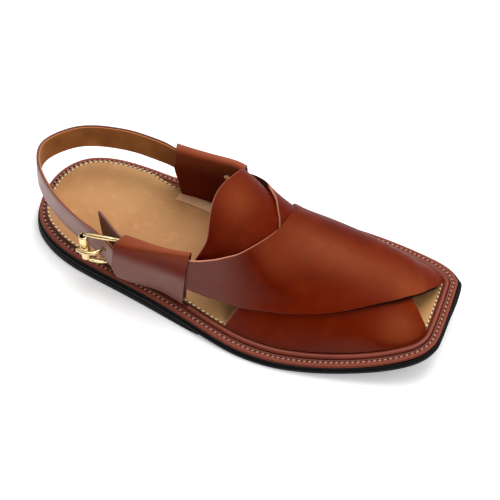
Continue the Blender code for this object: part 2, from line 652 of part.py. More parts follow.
# Leather guard behind the buckle, from inside the lateral keeper back along the foot.
#          x      y      top    bottom
GUARD = [(79.5, -35.1, 46.4, 27.2), (76.5, -35.0, 47.2, 27.5), (73.5, -34.4, 47.8, 27.8),
         (68.0, -31.8, 48.8, 28.3), (60.0, -26.8, 50.2, 29.2), (53.5, -23.0, 51.0, 31.0)]
g = open_spline(GUARD, 9)
tan = np.gradient(g[:, :2], axis=0)
tan /= np.linalg.norm(tan, axis=1, keepdims=True)
nrm = np.stack([tan[:, 1], -tan[:, 0]], -1)
h = np.linspace(0, 1, 4)[None, :]
face = lambda d: np.stack([np.broadcast_to((g[:, 0] + nrm[:, 0] * d)[:, None], (9, 4)),
                           np.broadcast_to((g[:, 1] + nrm[:, 1] * d)[:, None], (9, 4)),
                           g[:, 2:3] * (1 - h) + g[:, 3:4] * h], -1)
slab("buckle_guard", face(-.85), face(.85), LEATHER_M)


# ---------------------------------------------------------------------- rivets
def rivet(name, t, s, off):
    n, _ = axes(t, s)
    n = -n
    base = skin(t, s, off)
    e1 = np.cross(n, (0, 0, 1.0))
    e1 /= np.linalg.norm(e1)
    e2 = np.cross(n, e1)
    prof = [(2.7, 0.0), (2.6, .35), (1.9, .8), (1.0, 1.0)]
    rings = [[base + n * h + (e1 * np.cos(a) + e2 * np.sin(a)) * r
              for a in np.linspace(0, 2 * np.pi, 14, endpoint=False)] for r, h in prof]
    return sweep(name, rings, BRASS_M)


rivet("rivet_medial", 121.5, .70, 1.8)
rivet("rivet_lateral_upper", 109.0, -.83, 1.7)
rivet("rivet_lateral_lower", 109.5, -.90, 1.7)

# -------------------------------------------------- centre on the footprint box
bpy.context.view_layer.update()
dg = bpy.context.evaluated_depsgraph_get()
low, high = np.full(3, 1e9), np.full(3, -1e9)
parts = [o for o in bpy.context.scene.objects if not o.hide_render]
for ob in parts:
    ev = ob.evaluated_get(dg)
    me = ev.to_mesh()
    co = np.array([tuple(ev.matrix_world @ v.co) for v in me.vertices])
    low, high = np.minimum(low, co.min(0)), np.maximum(high, co.max(0))
    ev.to_mesh_clear()
shift = (-(low[0] + high[0]) / 2, -(low[1] + high[1]) / 2, -low[2])
shoe = bpy.data.objects.new("shoe", None)
bpy.context.scene.collection.objects.link(shoe)
for ob in [o for o in bpy.context.scene.objects if o is not shoe]:
    ob.parent = shoe
shoe.location = shift
bpy.context.view_layer.update()
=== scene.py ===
"""Looks of the peshawari chappal (right shoe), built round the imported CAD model.

Everything is drawn in the shoe's own axes, in millimetres, as in the CAD source:
x from the back of the heel to the toe, -y the outer side, +y the inner side, z up
from the ground. metres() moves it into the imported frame.
"""
import math
import bpy
import numpy as np
from mathutils import Matrix, Vector


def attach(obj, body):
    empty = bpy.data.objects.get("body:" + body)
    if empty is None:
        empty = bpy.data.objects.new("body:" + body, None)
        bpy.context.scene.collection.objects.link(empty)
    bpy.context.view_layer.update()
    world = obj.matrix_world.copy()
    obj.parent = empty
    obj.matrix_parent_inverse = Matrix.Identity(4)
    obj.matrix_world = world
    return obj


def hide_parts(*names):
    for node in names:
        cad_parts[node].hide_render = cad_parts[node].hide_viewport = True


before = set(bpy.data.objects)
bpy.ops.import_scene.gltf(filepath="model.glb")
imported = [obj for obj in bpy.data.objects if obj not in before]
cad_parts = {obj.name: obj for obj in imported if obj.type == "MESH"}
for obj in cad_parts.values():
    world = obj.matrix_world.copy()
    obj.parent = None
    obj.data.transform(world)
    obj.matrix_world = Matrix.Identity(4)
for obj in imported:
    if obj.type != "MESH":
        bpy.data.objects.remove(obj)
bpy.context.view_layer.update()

OFFSET = np.array([141.546726, 0.118911, 0.0])


def metres(P):
    return (np.asarray(P, float) - OFFSET) * 0.001


# ================================================================ shape of the shoe
LENGTH, SOLE_T, WELT_T, INSOLE_T, HEEL_H = 288.0, 5.0, 3.0, 2.2, 5.0
TOE_SPRING, SPRING_FROM, GAP, FEATHER = 18.0, 0.625, 0.3, 14.2
STRAP_W = 19.5

SOLE = [(0.3,   3.4,  14.5), (1.5,   -4.5,  22.0), (4.0,  -12.0,  29.7),
        (9.0, -19.5,  38.0), (16.0, -25.5,  44.8), (26.0, -31.4,  49.8),
        (40.0, -36.5, 52.9), (58.0, -40.3,  53.5), (80.0, -44.1,  52.6),
        (102.0, -48.4, 53.2), (124.0, -53.0, 55.5), (146.0, -58.1, 58.6),
        (168.0, -61.5, 60.9), (188.0, -61.5, 62.0), (206.0, -58.8, 61.8),
        (224.0, -54.5, 60.4), (242.0, -49.0, 57.0), (258.0, -42.8, 52.5),
        (270.0, -36.8, 47.9), (279.0, -30.8, 42.5), (285.0, -22.9, 36.1),
        (287.6, -11.5, 29.0)]

FORM = [(68.0,  70.0, 5.0,   .950, .510, -.600,   .620, 1.100, -.200),
        (76.0,  72.0, 5.0,   .915, .616, -.488,   .620, 1.100, -.180),
        (100.0, 76.0, 5.0,   .700, .776, -.190,   .550, 1.120, -.120),
        (126.0, 78.3, 5.0,   .660, .648,  .023,   .657,  .936, -.149),
        (148.0, 63.5, 6.0,   .554, .404,  .288,   .746,  .583,  .079),
        (172.0, 53.2, 8.0,   .542, .413,  .290,   .586,  .490,  .227),
        (198.0, 47.6, 10.0,  .590, .481,  .227,   .561,  .515,  .231),
        (224.0, 42.6, 11.0,  .640, .549,  .169,   .541,  .539,  .245),
        (246.0, 39.5, 12.0,  .640, .549,  .169,   .541,  .539,  .245),
        (262.0, 36.5, 12.0,  .640, .549,  .169,   .541,  .539,  .245),
        (270.0, 33.5, 12.0,  .640, .549,  .169,   .541,  .539,  .245),
        (274.0, 31.0, 12.0,  .640, .549,  .169,   .541,  .539,  .245)]

TOP_BAND_REAR = [(108, -.665), (122.8, -.650), (133.7, -.585), (141.3, -.517),
                 (149.4, -.432), (158.8, -.269), (166.1, -.086), (168.7, .077),
                 (169.9, .280), (169.2, .484), (166.5, .634), (164.5, .770), (162.8, 1.0)]
TOP_BAND_FRONT = [(108, -.880), (126.6, -.874), (141.8, -.857), (158.0, -.831),
                  (175.1, -.769), (188.2, -.728), (202.3, -.670), (216.9, -.599),
                  (230.5, -.508), (243.5, -.408), (253.6, -.318), (259.8, -.226),
                  (263.6, -.135), (268.4, .005), (272.0, .162), (274.6, .337), (276.6, .520),
                  (277.8, .700), (278.3, .860), (278.4, 1.0)]
UNDER_BAND_REAR = [(112, .735), (128.6, .695), (136.2, .655), (144.0, .568),
                   (155.8, .345), (161.3, .160), (165.0, .040), (168.0, -.080),
                   (172.0, -.260), (172.5, -.420), (169.5, -.600), (165.0, -.720),
                   (158.8, -.849), (153.7, -1.0)]
UNDER_BAND_FRONT = [(112, .900), (130.4, .918), (142.3, .868), (153.9, .826),
                    (164.5, .778), (185.0, .700), (205.0, .580), (225.0, .420),
                    (243.0, .200), (255.0, -.050), (261.8, -.245), (267.6, -.368),
                    (271.9, -.483), (275.1, -.596), (277.5, -.731), (278.7, -.870), (279.0, -1.0)]
TONGUE_REAR = [(124.0, -.800), (125.1, -.660), (127.4, -.560), (128.8, -.460),
               (127.6, -.345), (126.0, -.236), (125.1, -.145), (124.8, -.072),
               (125.3, .002), (126.3, .068), (127.7, .130), (129.1, .208),
               (130.1, .328), (130.6, .450), (130.8, .640), (130.8, .800)]
TONGUE_FRONT = [(150, -.80), (160, -.50), (175, -.20), (181, 0.0), (175, .20),
                (160, .50), (150, .80)]
EAR_LATERAL = dict(side=-1, crest=((78.8, 55.0), (123.4, 56.0)), out=1.6, inn=4.0,
                   flare=5.0, front=124.0,
                   rear_outer=((0.0, 74.5), (.35, 70.8), (.62, 71.6), (.85, 74.5), (1.0, 79.3)),
                   rear_inner=((0.0, 78.0), (.35, 75.0), (.8, 76.0), (1.0, 79.3)))
EAR_MEDIAL = dict(side=1, crest=((82.7, 57.1), (129.6, 56.2)), out=0.6, inn=0.6,
                  flare=0.0, front=131.0,
                  rear_outer=((0.0, 84.0), (.45, 79.6), (1.0, 82.9)),
                  rear_inner=((0.0, 86.0), (.45, 80.5), (1.0, 82.9)))
STRAP = [(72.0, 48.4, 51.6), (62.0, 49.6, 51.0), (50.0, 49.8, 51.0), (38.0, 48.2, 51.2),
         (24.0, 44.0, 52.0), (12.0, 37.5, 52.7), (2.5, 28.0, 53.0), (-3.6, 18.0, 53.0),
         (-4.6, 9.0, 52.9), (-1.0, -1.0, 52.2), (6.5, -10.2, 50.8), (17.0, -18.5, 48.8),
         (30.0, -26.0, 47.0), (43.0, -31.5, 45.6), (54.0, -34.2, 43.6), (62.0, -37.3, 42.0)]
ROLLER_TOP, ROLLER_END = np.array([49.7, -40.6, 44.6]), np.array([52.5, -41.6, 24.2])
PRONG = [(68.0, -34.7, 31.4), (66.4, -34.9, 32.0), (64.6, -35.6, 33.0), (62.2, -39.4, 34.2),
         (59.6, -43.4, 34.8), (55.6, -46.0, 34.9), (51.0, -46.3, 34.6), (46.6, -45.1, 34.2)]
GUARD = [(79.5, -35.1, 46.4, 27.2), (76.5, -35.0, 47.2, 27.5), (73.5, -34.4, 47.8, 27.8),
         (68.0, -31.8, 48.8, 28.3), (60.0, -26.8, 50.2, 29.2), (53.5, -23.0, 51.0, 31.0)]


def smoothstep(a, b, x):
    t = np.clip((np.asarray(x, float) - a) / (b - a), 0, 1)
    return t * t * (3 - 2 * t)


def ramp(x, a, b, r):
    x = np.asarray(x, float)
    return np.mean([np.clip((x + d - a) / (b - a), 0, 1) for d in np.linspace(-r, r, 25)], axis=0)


def closed_spline(points, k=16):
    P = np.asarray(points, float)
    a, b, c = np.roll(P, 1, 0), np.roll(P, -1, 0), np.roll(P, -2, 0)
    out = [0.5 * (2 * P + (b - a) * t + (2 * a - 5 * P + 4 * b - c) * t * t
                  + (3 * P - 3 * b + c - a) * t ** 3) for t in np.linspace(0, 1, k, endpoint=False)]
    return np.stack(out, 1).reshape(-1, P.shape[1])


def open_spline(points, n, weight=None, k=40):
    P = np.asarray(points, float)
    P = np.vstack([2 * P[0] - P[1], P, 2 * P[-1] - P[-2]])
    ts = np.linspace(0, 1, k, endpoint=False)[:, None]
    out = []
    for i in range(1, len(P) - 2):
        p0, p1, p2, p3 = P[i - 1:i + 3]
        out.append(0.5 * (2 * p1 + (p2 - p0) * ts + (2 * p0 - 5 * p1 + 4 * p2 - p3) * ts * ts
                          + (3 * p1 - 3 * p2 + p3 - p0) * ts ** 3))
    out = np.vstack(out + [P[-2][None]])
    w = np.ones(out.shape[1]) if weight is None else np.asarray(weight, float)
    s = np.concatenate([[0], np.cumsum(np.linalg.norm(np.diff(out * w, axis=0), axis=1))])
    u = np.linspace(0, s[-1], n)
    return np.stack([np.interp(u, s, out[:, j]) for j in range(out.shape[1])], -1)


def even(P, n, passes=0):
    q = np.vstack([P, P[:1]])
    s = np.concatenate([[0], np.cumsum(np.linalg.norm(np.diff(q, axis=0), axis=1))])
    u = np.linspace(0, s[-1], n, endpoint=False)
    r = np.stack([np.interp(u, s, q[:, 0]), np.interp(u, s, q[:, 1])], -1)
    for _ in range(passes):
        r = 0.25 * np.roll(r, 1, 0) + 0.5 * r + 0.25 * np.roll(r, -1, 0)
    return r


_LOOPS = {}


def outline(inset=0.0, n=1440):
    key = (round(inset, 4), n)
    if key in _LOOPS:
        return _LOOPS[key]
    P = closed_spline([(r[0], r[1]) for r in SOLE] + [(r[0], r[2]) for r in SOLE][::-1])
    for _ in range(20):
        P = 0.25 * np.roll(P, 1, 0) + 0.5 * P + 0.25 * np.roll(P, -1, 0)
    r = even(P, n)
    if inset > 0:
        t = np.roll(r, -1, 0) - np.roll(r, 1, 0)
        t /= np.linalg.norm(t, axis=1, keepdims=True)
        o = r + np.stack([-t[:, 1], t[:, 0]], -1) * inset
        near = np.array([np.min(np.hypot(*(r - p).T)) for p in o])
        r = even(o[near > inset - .03], n, 12)
    _LOOPS[key] = r
    return r


def halves(loop):
    i, j = int(loop[:, 0].argmin()), int(loop[:, 0].argmax())

    def arc(a, b):
        return loop[a:b + 1] if a <= b else np.vstack([loop[a:], loop[:b + 1]])
    return arc(i, j), arc(j, i)[::-1]


def resample(chain, n):
    s = np.concatenate([[0], np.cumsum(np.linalg.norm(np.diff(chain, axis=0), axis=1))])
    u = np.linspace(0, s[-1], n)
    return np.stack([np.interp(u, s, chain[:, j]) for j in range(chain.shape[1])], -1)


def along(chain, x):
    return np.interp(x, chain[:, 0], chain[:, 1])


def z_out(x):
    x = np.asarray(x, float)
    return (SOLE_T + HEEL_H * (1 - ramp(x, 102, 162, 5))
            + TOE_SPRING * np.clip((x / LENGTH - SPRING_FROM) / (1 - SPRING_FROM), 0, 1.05) ** 2)


def z_welt(x):
    return z_out(x) + WELT_T


def z_ins(x):
    return z_welt(x) + INSOLE_T


LAT, MED = halves(outline(FEATHER))
TIP = float(min(LAT[-1, 0], MED[-1, 0]))
TOE_R, TOE_RUN = 16.0, 25.0
T_BEND, T_END = TIP - TOE_R, TIP - TOE_R + TOE_RUN


def smoothed(table, n=170, passes=60):
    T = np.asarray(table, float)
    xs = np.linspace(T[0, 0], T[-1, 0], n)
    fine_x = np.linspace(T[0, 0], T[-1, 0], n * 8)
    out = [fine_x]
    for j in range(1, T.shape[1]):
        y = np.interp(xs, T[:, 0], T[:, j])
        for _ in range(passes):
            z = y.copy()
            z[1:-1] = .25 * y[:-2] + .5 * y[1:-1] + .25 * y[2:]
            y = z
        y = np.interp(fine_x, xs, y)
        for _ in range(40):
            z = y.copy()
            z[1:-1] = .25 * y[:-2] + .5 * y[1:-1] + .25 * y[2:]
            y = z
        out.append(y)
    return np.stack(out, -1)


FORM_S = smoothed(FORM)


def x_of(t):
    t = np.asarray(t, float)
    a = .5 * np.pi * np.clip(1 - (t - T_BEND) / TOE_RUN, 0, 1)
    return np.where(t <= T_BEND, t, TIP - TOE_R * (1 - np.cos(a)))


def form(t, s):
    t, s = np.broadcast_arrays(np.asarray(t, float), np.asarray(s, float))
    x = x_of(t)
    rz, ry, a1, a2, ag, b1, b2, bg = [np.interp(x, FORM_S[:, 0], FORM_S[:, j]) for j in range(1, 9)]
    zf = z_ins(x) + GAP
    a = .5 * np.pi * np.clip(1 - (t - T_BEND) / TOE_RUN, 0, 1)
    H = np.maximum(rz - zf, 0) * np.sin(a) ** .9
    lat = s < 0
    ye = np.where(lat, along(LAT, x), along(MED, x))
    low, high, lean = np.where(lat, a1, b1), np.where(lat, a2, b2), np.where(lat, ag, bg)
    w = 1 - np.abs(s)
    u = 1 - w
    y = ry + (ye - ry) * (u ** 3 + 3 * w * u * u * (1 - lean) + 3 * w * w * u * high)
    z = zf + H * (3 * w * u * u * low + 3 * w * w * u + w ** 3)
    return np.stack([x, y, z], -1)


def axes(t, s):
    t, s = np.broadcast_arrays(np.asarray(t, float), np.asarray(s, float))
    dt = form(np.minimum(t + .4, T_END), s) - form(np.minimum(t, T_END - .4) - .4, s)
    ds = form(t, np.clip(s + .004, -1, 1)) - form(t, np.clip(s - .004, -1, 1))
    n = np.cross(dt, ds)
    n /= np.linalg.norm(n, axis=-1, keepdims=True) + 1e-12
    n[..., 2] *= smoothstep(0, .16, 1 - np.abs(s)) * smoothstep(0, 12, T_END - t)
    n /= np.linalg.norm(n, axis=-1, keepdims=True) + 1e-12
    up = ds * np.where(s < 0, 1, -1)[..., None]
    up /= np.linalg.norm(up, axis=-1, keepdims=True) + 1e-12
    return n, up


def skin(t, s, off):
    t, s = np.broadcast_arrays(np.asarray(t, float), np.asarray(s, float))
    n, _ = axes(t, s)
    P = form(t, s)
    Q = P + n * np.broadcast_to(np.asarray(off, float), n.shape[:-1])[..., None]
    foot = 1 - smoothstep(0, .3, 1 - np.abs(s)) * smoothstep(0, 14, T_END - t)
    Q[..., 2] += foot * (z_ins(Q[..., 0]) - z_ins(P[..., 0]))
    return Q


def across_at(t, side, off, z):
    s = np.linspace(1, .45, 221)
    P = skin(np.full_like(s, t), side * s, off)
    return side * float(np.interp(z, np.maximum.accumulate(P[:, 2]), s))


# ==================================================================== materials
def rgb(r, g, b):
    """sRGB 0-255 to linear."""
    def f(c):
        c /= 255.0
        return c / 12.92 if c <= .04045 else ((c + .055) / 1.055) ** 2.4
    return (f(r), f(g), f(b), 1.0)


class Graph:
    """Small helper to lay out one material's nodes."""
    def __init__(self, name):
        self.mat = bpy.data.materials.new(name)
        self.mat.use_nodes = True
        self.nt = self.mat.node_tree
        self.bsdf = self.nt.nodes["Principled BSDF"]
        self.coord = self.node("ShaderNodeTexCoord").outputs["Object"]

    def node(self, kind, **props):
        n = self.nt.nodes.new(kind)
        for k, v in props.items():
            setattr(n, k, v)
        return n

    def link(self, a, b):
        self.nt.links.new(a, b)

    def put(self, socket, value):
        if hasattr(value, "links"):
            self.link(value, socket)
        else:
            socket.default_value = value

    def noise(self, scale, detail=3.0, rough=.55, vec=None, distort=0.0):
        n = self.node("ShaderNodeTexNoise")
        self.link(vec or self.coord, n.inputs["Vector"])
        n.inputs["Scale"].default_value = scale
        n.inputs["Detail"].default_value = detail
        n.inputs["Roughness"].default_value = rough
        n.inputs["Distortion"].default_value = distort
        return n.outputs["Fac"]

    def cells(self, scale, feature="F1", vec=None):
        n = self.node("ShaderNodeTexVoronoi", feature=feature)
        self.link(vec or self.coord, n.inputs["Vector"])
        n.inputs["Scale"].default_value = scale
        return n.outputs["Distance"]

    def span(self, value, a, b, to_a=0.0, to_b=1.0, smooth=True):
        n = self.node("ShaderNodeMapRange")
        n.interpolation_type = 'SMOOTHSTEP' if smooth else 'LINEAR'
        self.put(n.inputs["Value"], value)
        n.inputs["From Min"].default_value = a
        n.inputs["From Max"].default_value = b
        n.inputs["To Min"].default_value = to_a
        n.inputs["To Max"].default_value = to_b
        return n.outputs["Result"]

    def math(self, op, a, b=0.0):
        n = self.node("ShaderNodeMath", operation=op)
        self.put(n.inputs[0], a)
        self.put(n.inputs[1], b)
        return n.outputs[0]

    def mix(self, fac, a, b, blend='MIX'):
        n = self.node("ShaderNodeMix", data_type='RGBA', blend_type=blend)
        self.put(n.inputs["Factor"], fac)
        self.put(n.inputs["A"], a)
        self.put(n.inputs["B"], b)
        return n.outputs["Result"]

    def attr(self, name):
        return self.node("ShaderNodeAttribute", attribute_name=name).outputs["Fac"]

    def stretch(self, sx, sy, sz):
        m = self.node("ShaderNodeMapping")
        self.link(self.coord, m.inputs["Vector"])
        m.inputs["Scale"].default_value = (sx, sy, sz)
        return m.outputs["Vector"]

    def bump(self, height, distance, strength=1.0, after=None):
        n = self.node("ShaderNodeBump")
        n.inputs["Strength"].default_value = strength
        n.inputs["Distance"].default_value = distance
        self.link(height, n.inputs["Height"])
        if after is not None:
            self.link(after, n.inputs["Normal"])
        return n.outputs["Normal"]

    def set(self, **values):
        for k, v in values.items():
            self.put(self.bsdf.inputs[k.replace("_", " ")], v)
        return self.mat


def leather(name, deep, mid, light, edge, rough=.42, coat=0.0, grain=1.0, level=.12, bloom=None, painted_highlight=None):
    """Smooth pulled-up leather: cloudy tone, faint pores and creases, paler cut edges. A per-vertex mask also paints
    light into the colour: a greyish painted reflection where it is positive, a painted highlight where it is negative,
    and painted shade near black on cut edges whose edge value is negative.
    """
    g = Graph(name)
    cloud = g.noise(13, 3, .5, distort=.25)
    mottle = g.noise(95, 4, .6)
    fine = g.noise(620, 4, .65)
    c = g.mix(g.span(cloud, .32, .70), deep, mid)
    c = g.mix(g.span(mottle, .45, .78, 0, .30), c, light)
    c = g.mix(g.span(fine, .42, .30, 0, .20), c, deep)
    if bloom:                                  # painted reflection: greyish mauve tone where the mask is positive
        c = g.mix(g.attr("bloom"), c, g.mix(g.span(mottle, .3, .7, 0, .12), bloom, mid))
    if painted_highlight:                                    # painted highlight: lighter tone where the mask is negative
        c = g.mix(g.span(g.attr("bloom"), 0, -1, smooth=False), c, g.mix(g.span(mottle, .35, .7, 0, .3), painted_highlight, light))
    c = g.mix(g.attr("edge"), c, edge)
    c = g.mix(g.span(g.attr("edge"), 0, -1, smooth=False), c, rgb(26, 9, 6))    # painted shade: near-black cut edge where a gap beside it lies in shadow
    pores = g.cells(1500, 'SMOOTH_F1')
    n = g.bump(pores, .00012, .10 * grain)
    n = g.bump(g.noise(2600, 3, .6), .00006, .18 * grain, n)
    n = g.bump(g.noise(60, 3, .5), .0006, .08 * grain, n)
    r = g.math('ADD', g.span(mottle, .3, .7, rough - .03, rough + .04), g.span(fine, .35, .65, -.02, .03))
    return g.set(Base_Color=c, Roughness=r, Normal=n, Coat_Weight=coat, Coat_Roughness=.25,
                 Specular_IOR_Level=level, IOR=1.48)


# painted light tones for the upper: a greyish mauve painted reflection and an orange painted highlight over its own
# red-brown
PAINTED_SHEEN_TONE = rgb(116, 75, 67)
UPPER = leather("upper_leather_smooth", rgb(80, 12, 1), rgb(101, 25, 3), rgb(126, 43, 9), rgb(206, 134, 110), level=.025, bloom=PAINTED_SHEEN_TONE,
                painted_highlight=rgb(180, 98, 56))
# keeper: a greyish painted reflection tone and a pale orange painted highlight tone over its own red-brown
KEEPER = leather("keeper_leather", rgb(92, 18, 2), rgb(112, 30, 4), rgb(132, 46, 10), rgb(206, 138, 116), rough=.36, level=.12, bloom=rgb(128, 90, 82),
                 painted_highlight=rgb(202, 114, 72))
# strap face: a greyish mauve painted reflection tone over its own red-brown
STRAP_M = leather("strap_leather_face", rgb(92, 26, 9), rgb(112, 38, 15), rgb(134, 54, 24), rgb(96, 28, 12), rough=.40, level=.5,
                  bloom=rgb(150, 112, 104))
# guard: brown leather coloured greyish mauve all over as painted reflection and shade
GUARD_M = leather("guard_leather_face", rgb(92, 58, 50), rgb(108, 72, 63), rgb(124, 86, 76), rgb(104, 40, 22), rough=.40, level=.45)
PIPE = leather("piping_leather", rgb(98, 32, 14), rgb(122, 46, 24), rgb(148, 66, 40), rgb(148, 66, 40), level=.4)
WELT = leather("welt_leather_strip", rgb(88, 32, 18), rgb(108, 44, 26), rgb(128, 60, 38), rgb(134, 66, 50), rough=.5)


def insole_material():
    g = Graph("insole_tan_leather")
    cloud = g.noise(11, 3, .5)
    mottle = g.noise(120, 5, .6)
    fine = g.noise(900, 4, .6)
    c = g.mix(g.span(cloud, .35, .66), rgb(172, 118, 65), rgb(190, 139, 85))
    c = g.mix(g.span(mottle, .5, .75, 0, .35), c, rgb(210, 162, 112))
    c = g.mix(g.span(fine, .40, .28, 0, .25), c, rgb(160, 110, 60))
    c = g.mix(g.attr("edge"), c, rgb(98, 56, 28))
    n = g.bump(g.cells(1900, 'SMOOTH_F1'), .0001, .10)
    n = g.bump(g.noise(2600, 3, .6), .00005, .2, n)
    r = g.span(mottle, .3, .7, .52, .64)
    return g.set(Base_Color=c, Roughness=r, Normal=n, Specular_IOR_Level=.35, Sheen_Weight=.05)


def suede(name, dark, light, edge, sheen):
    g = Graph(name)
    nap = g.noise(1400, 4, .7)
    cloud = g.noise(40, 3, .5)
    c = g.mix(g.span(cloud, .3, .7), dark, light)
    c = g.mix(g.span(nap, .35, .65, 0, .4), c, dark)
    c = g.mix(g.attr("edge"), c, edge)
    n = g.bump(nap, .0002, .35)
    return g.set(Base_Color=c, Roughness=g.span(nap, .3, .7, .75, .9), Normal=n,
                 Specular_IOR_Level=.25, Sheen_Weight=sheen, Sheen_Roughness=.5)


def rubber():
    g = Graph("black_sole_rubber")
    n1 = g.noise(900, 3, .6)
    scuff = g.noise(160, 5, .7)
    c = g.mix(g.span(scuff, .5, .75, 0, .5), rgb(4, 5, 5), rgb(13, 15, 15))
    n = g.bump(n1, .00015, .25)
    n = g.bump(g.noise(170, 3, .5, vec=g.stretch(.25, .25, 4.0)), .0004, .15, n)
    return g.set(Base_Color=c, Roughness=g.span(scuff, .3, .7, .48, .62), Normal=n, Specular_IOR_Level=.14)


def thread(name, dark, light, twist=5200):
    g = Graph(name)
    w = g.noise(twist, 2, .5)
    c = g.mix(g.span(w, .38, .62), dark, light)
    n = g.bump(w, .0001, .5)
    return g.set(Base_Color=c, Roughness=.6, Normal=n, Specular_IOR_Level=.3, Sheen_Weight=.2)


def brass():
    g = Graph("pale_brass_polished")
    w = g.noise(70, 3, .5)
    s = g.noise(900, 4, .6, vec=g.stretch(1, 1, 6))
    c = g.mix(g.span(w, .35, .65), rgb(226, 196, 138), rgb(240, 216, 166))
    n = g.bump(s, .00002, .25)
    return g.set(Base_Color=c, Metallic=1.0, Roughness=g.span(s, .3, .7, .12, .24), Normal=n)


# painted shade: flat dark discs stand in for the shadowed insides of needle holes and the prong hole
def hole_shade_material():
    g = Graph("needle_hole_painted_shade")
    w = g.noise(1500, 2, .5)
    c = g.mix(g.span(w, .4, .6), rgb(38, 18, 10), rgb(58, 28, 16))
    return g.set(Base_Color=c, Roughness=.9, Specular_IOR_Level=.05)


INSOLE = insole_material()
SUEDE = suede("flesh_side_suede", rgb(86, 42, 26), rgb(120, 66, 42), rgb(190, 130, 104), .15)
# tab: a slightly pinker tan, painted paler still as painted light against the shade under the medial keeper
TAB = suede("tab_leather_painted_light", rgb(222, 170, 124), rgb(238, 194, 152), rgb(214, 160, 124), .05)
LINING = suede("tan_lining_leather", rgb(142, 86, 36), rgb(184, 122, 60), rgb(196, 116, 76), .05)
RUBBER = rubber()
CREAM = thread("cream_thread", rgb(206, 172, 122), rgb(240, 216, 172))
BRAID = thread("braid_thread", rgb(150, 92, 74), rgb(206, 156, 134))
BRAID_DEEP = thread("braid_strand", rgb(104, 48, 34), rgb(146, 84, 66))
BROWN_THREAD = thread("brown_thread", rgb(84, 38, 24), rgb(120, 62, 42))
BRASS = brass()
HOLE_SHADE = hole_shade_material()


# =================================================================== mesh makers
def piece(name, verts, faces, mats, ids=None, edge=None, smooth=50.0, cad=(), slot=None, bloom=None):
    me = bpy.data.meshes.new(name)
    me.from_pydata(metres(verts).tolist(), [], [tuple(int(i) for i in f) for f in faces])
    me.validate()
    for m in mats:
        me.materials.append(m)
    if ids is not None:
        me.polygons.foreach_set("material_index", np.asarray(ids, np.int32))
    at = me.attributes.new("edge", 'FLOAT', 'POINT')
    at.data.foreach_set("value", np.zeros(len(me.vertices), np.float32) if edge is None
                        else np.asarray(edge, np.float32))
    me.calc_loop_triangles()
    tri = np.zeros(len(me.loop_triangles) * 3, np.int32)
    me.loop_triangles.foreach_get("vertices", tri)
    V = np.asarray(verts, float)[tri].reshape(-1, 3, 3) - np.mean(verts, axis=0)
    if np.einsum('ij,ij->i', V[:, 0], np.cross(V[:, 1], V[:, 2])).sum() < 0:
        me.flip_normals()
    # painted light: a per-vertex mask from position and normal, positive for a painted reflection, negative for a
    # painted highlight
    if bloom is not None:
        nv = np.zeros(len(me.vertices) * 3)
        me.vertex_normals.foreach_get("vector", nv)
        at = me.attributes.new("bloom", 'FLOAT', 'POINT')
        at.data.foreach_set("value", np.asarray(bloom(np.asarray(verts, float), nv.reshape(-1, 3)), np.float32))
    me.shade_smooth()
    me.set_sharp_from_angle(angle=math.radians(smooth))
    ob = bpy.data.objects.new(name, me)
    bpy.context.scene.collection.objects.link(ob)
    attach(ob, "root")
    if cad:
        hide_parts(*cad)
    return ob


def fine(n, total, near=(.3, .8, 1.7)):
    """0 to 1 with extra lines close to both ends; total is the run in mm."""
    a = np.array((0.0,) + tuple(near)) / total
    mid = np.linspace(a[-1], 1 - a[-1], n)[1:-1]
    return np.concatenate([a, mid, 1 - a[::-1]])


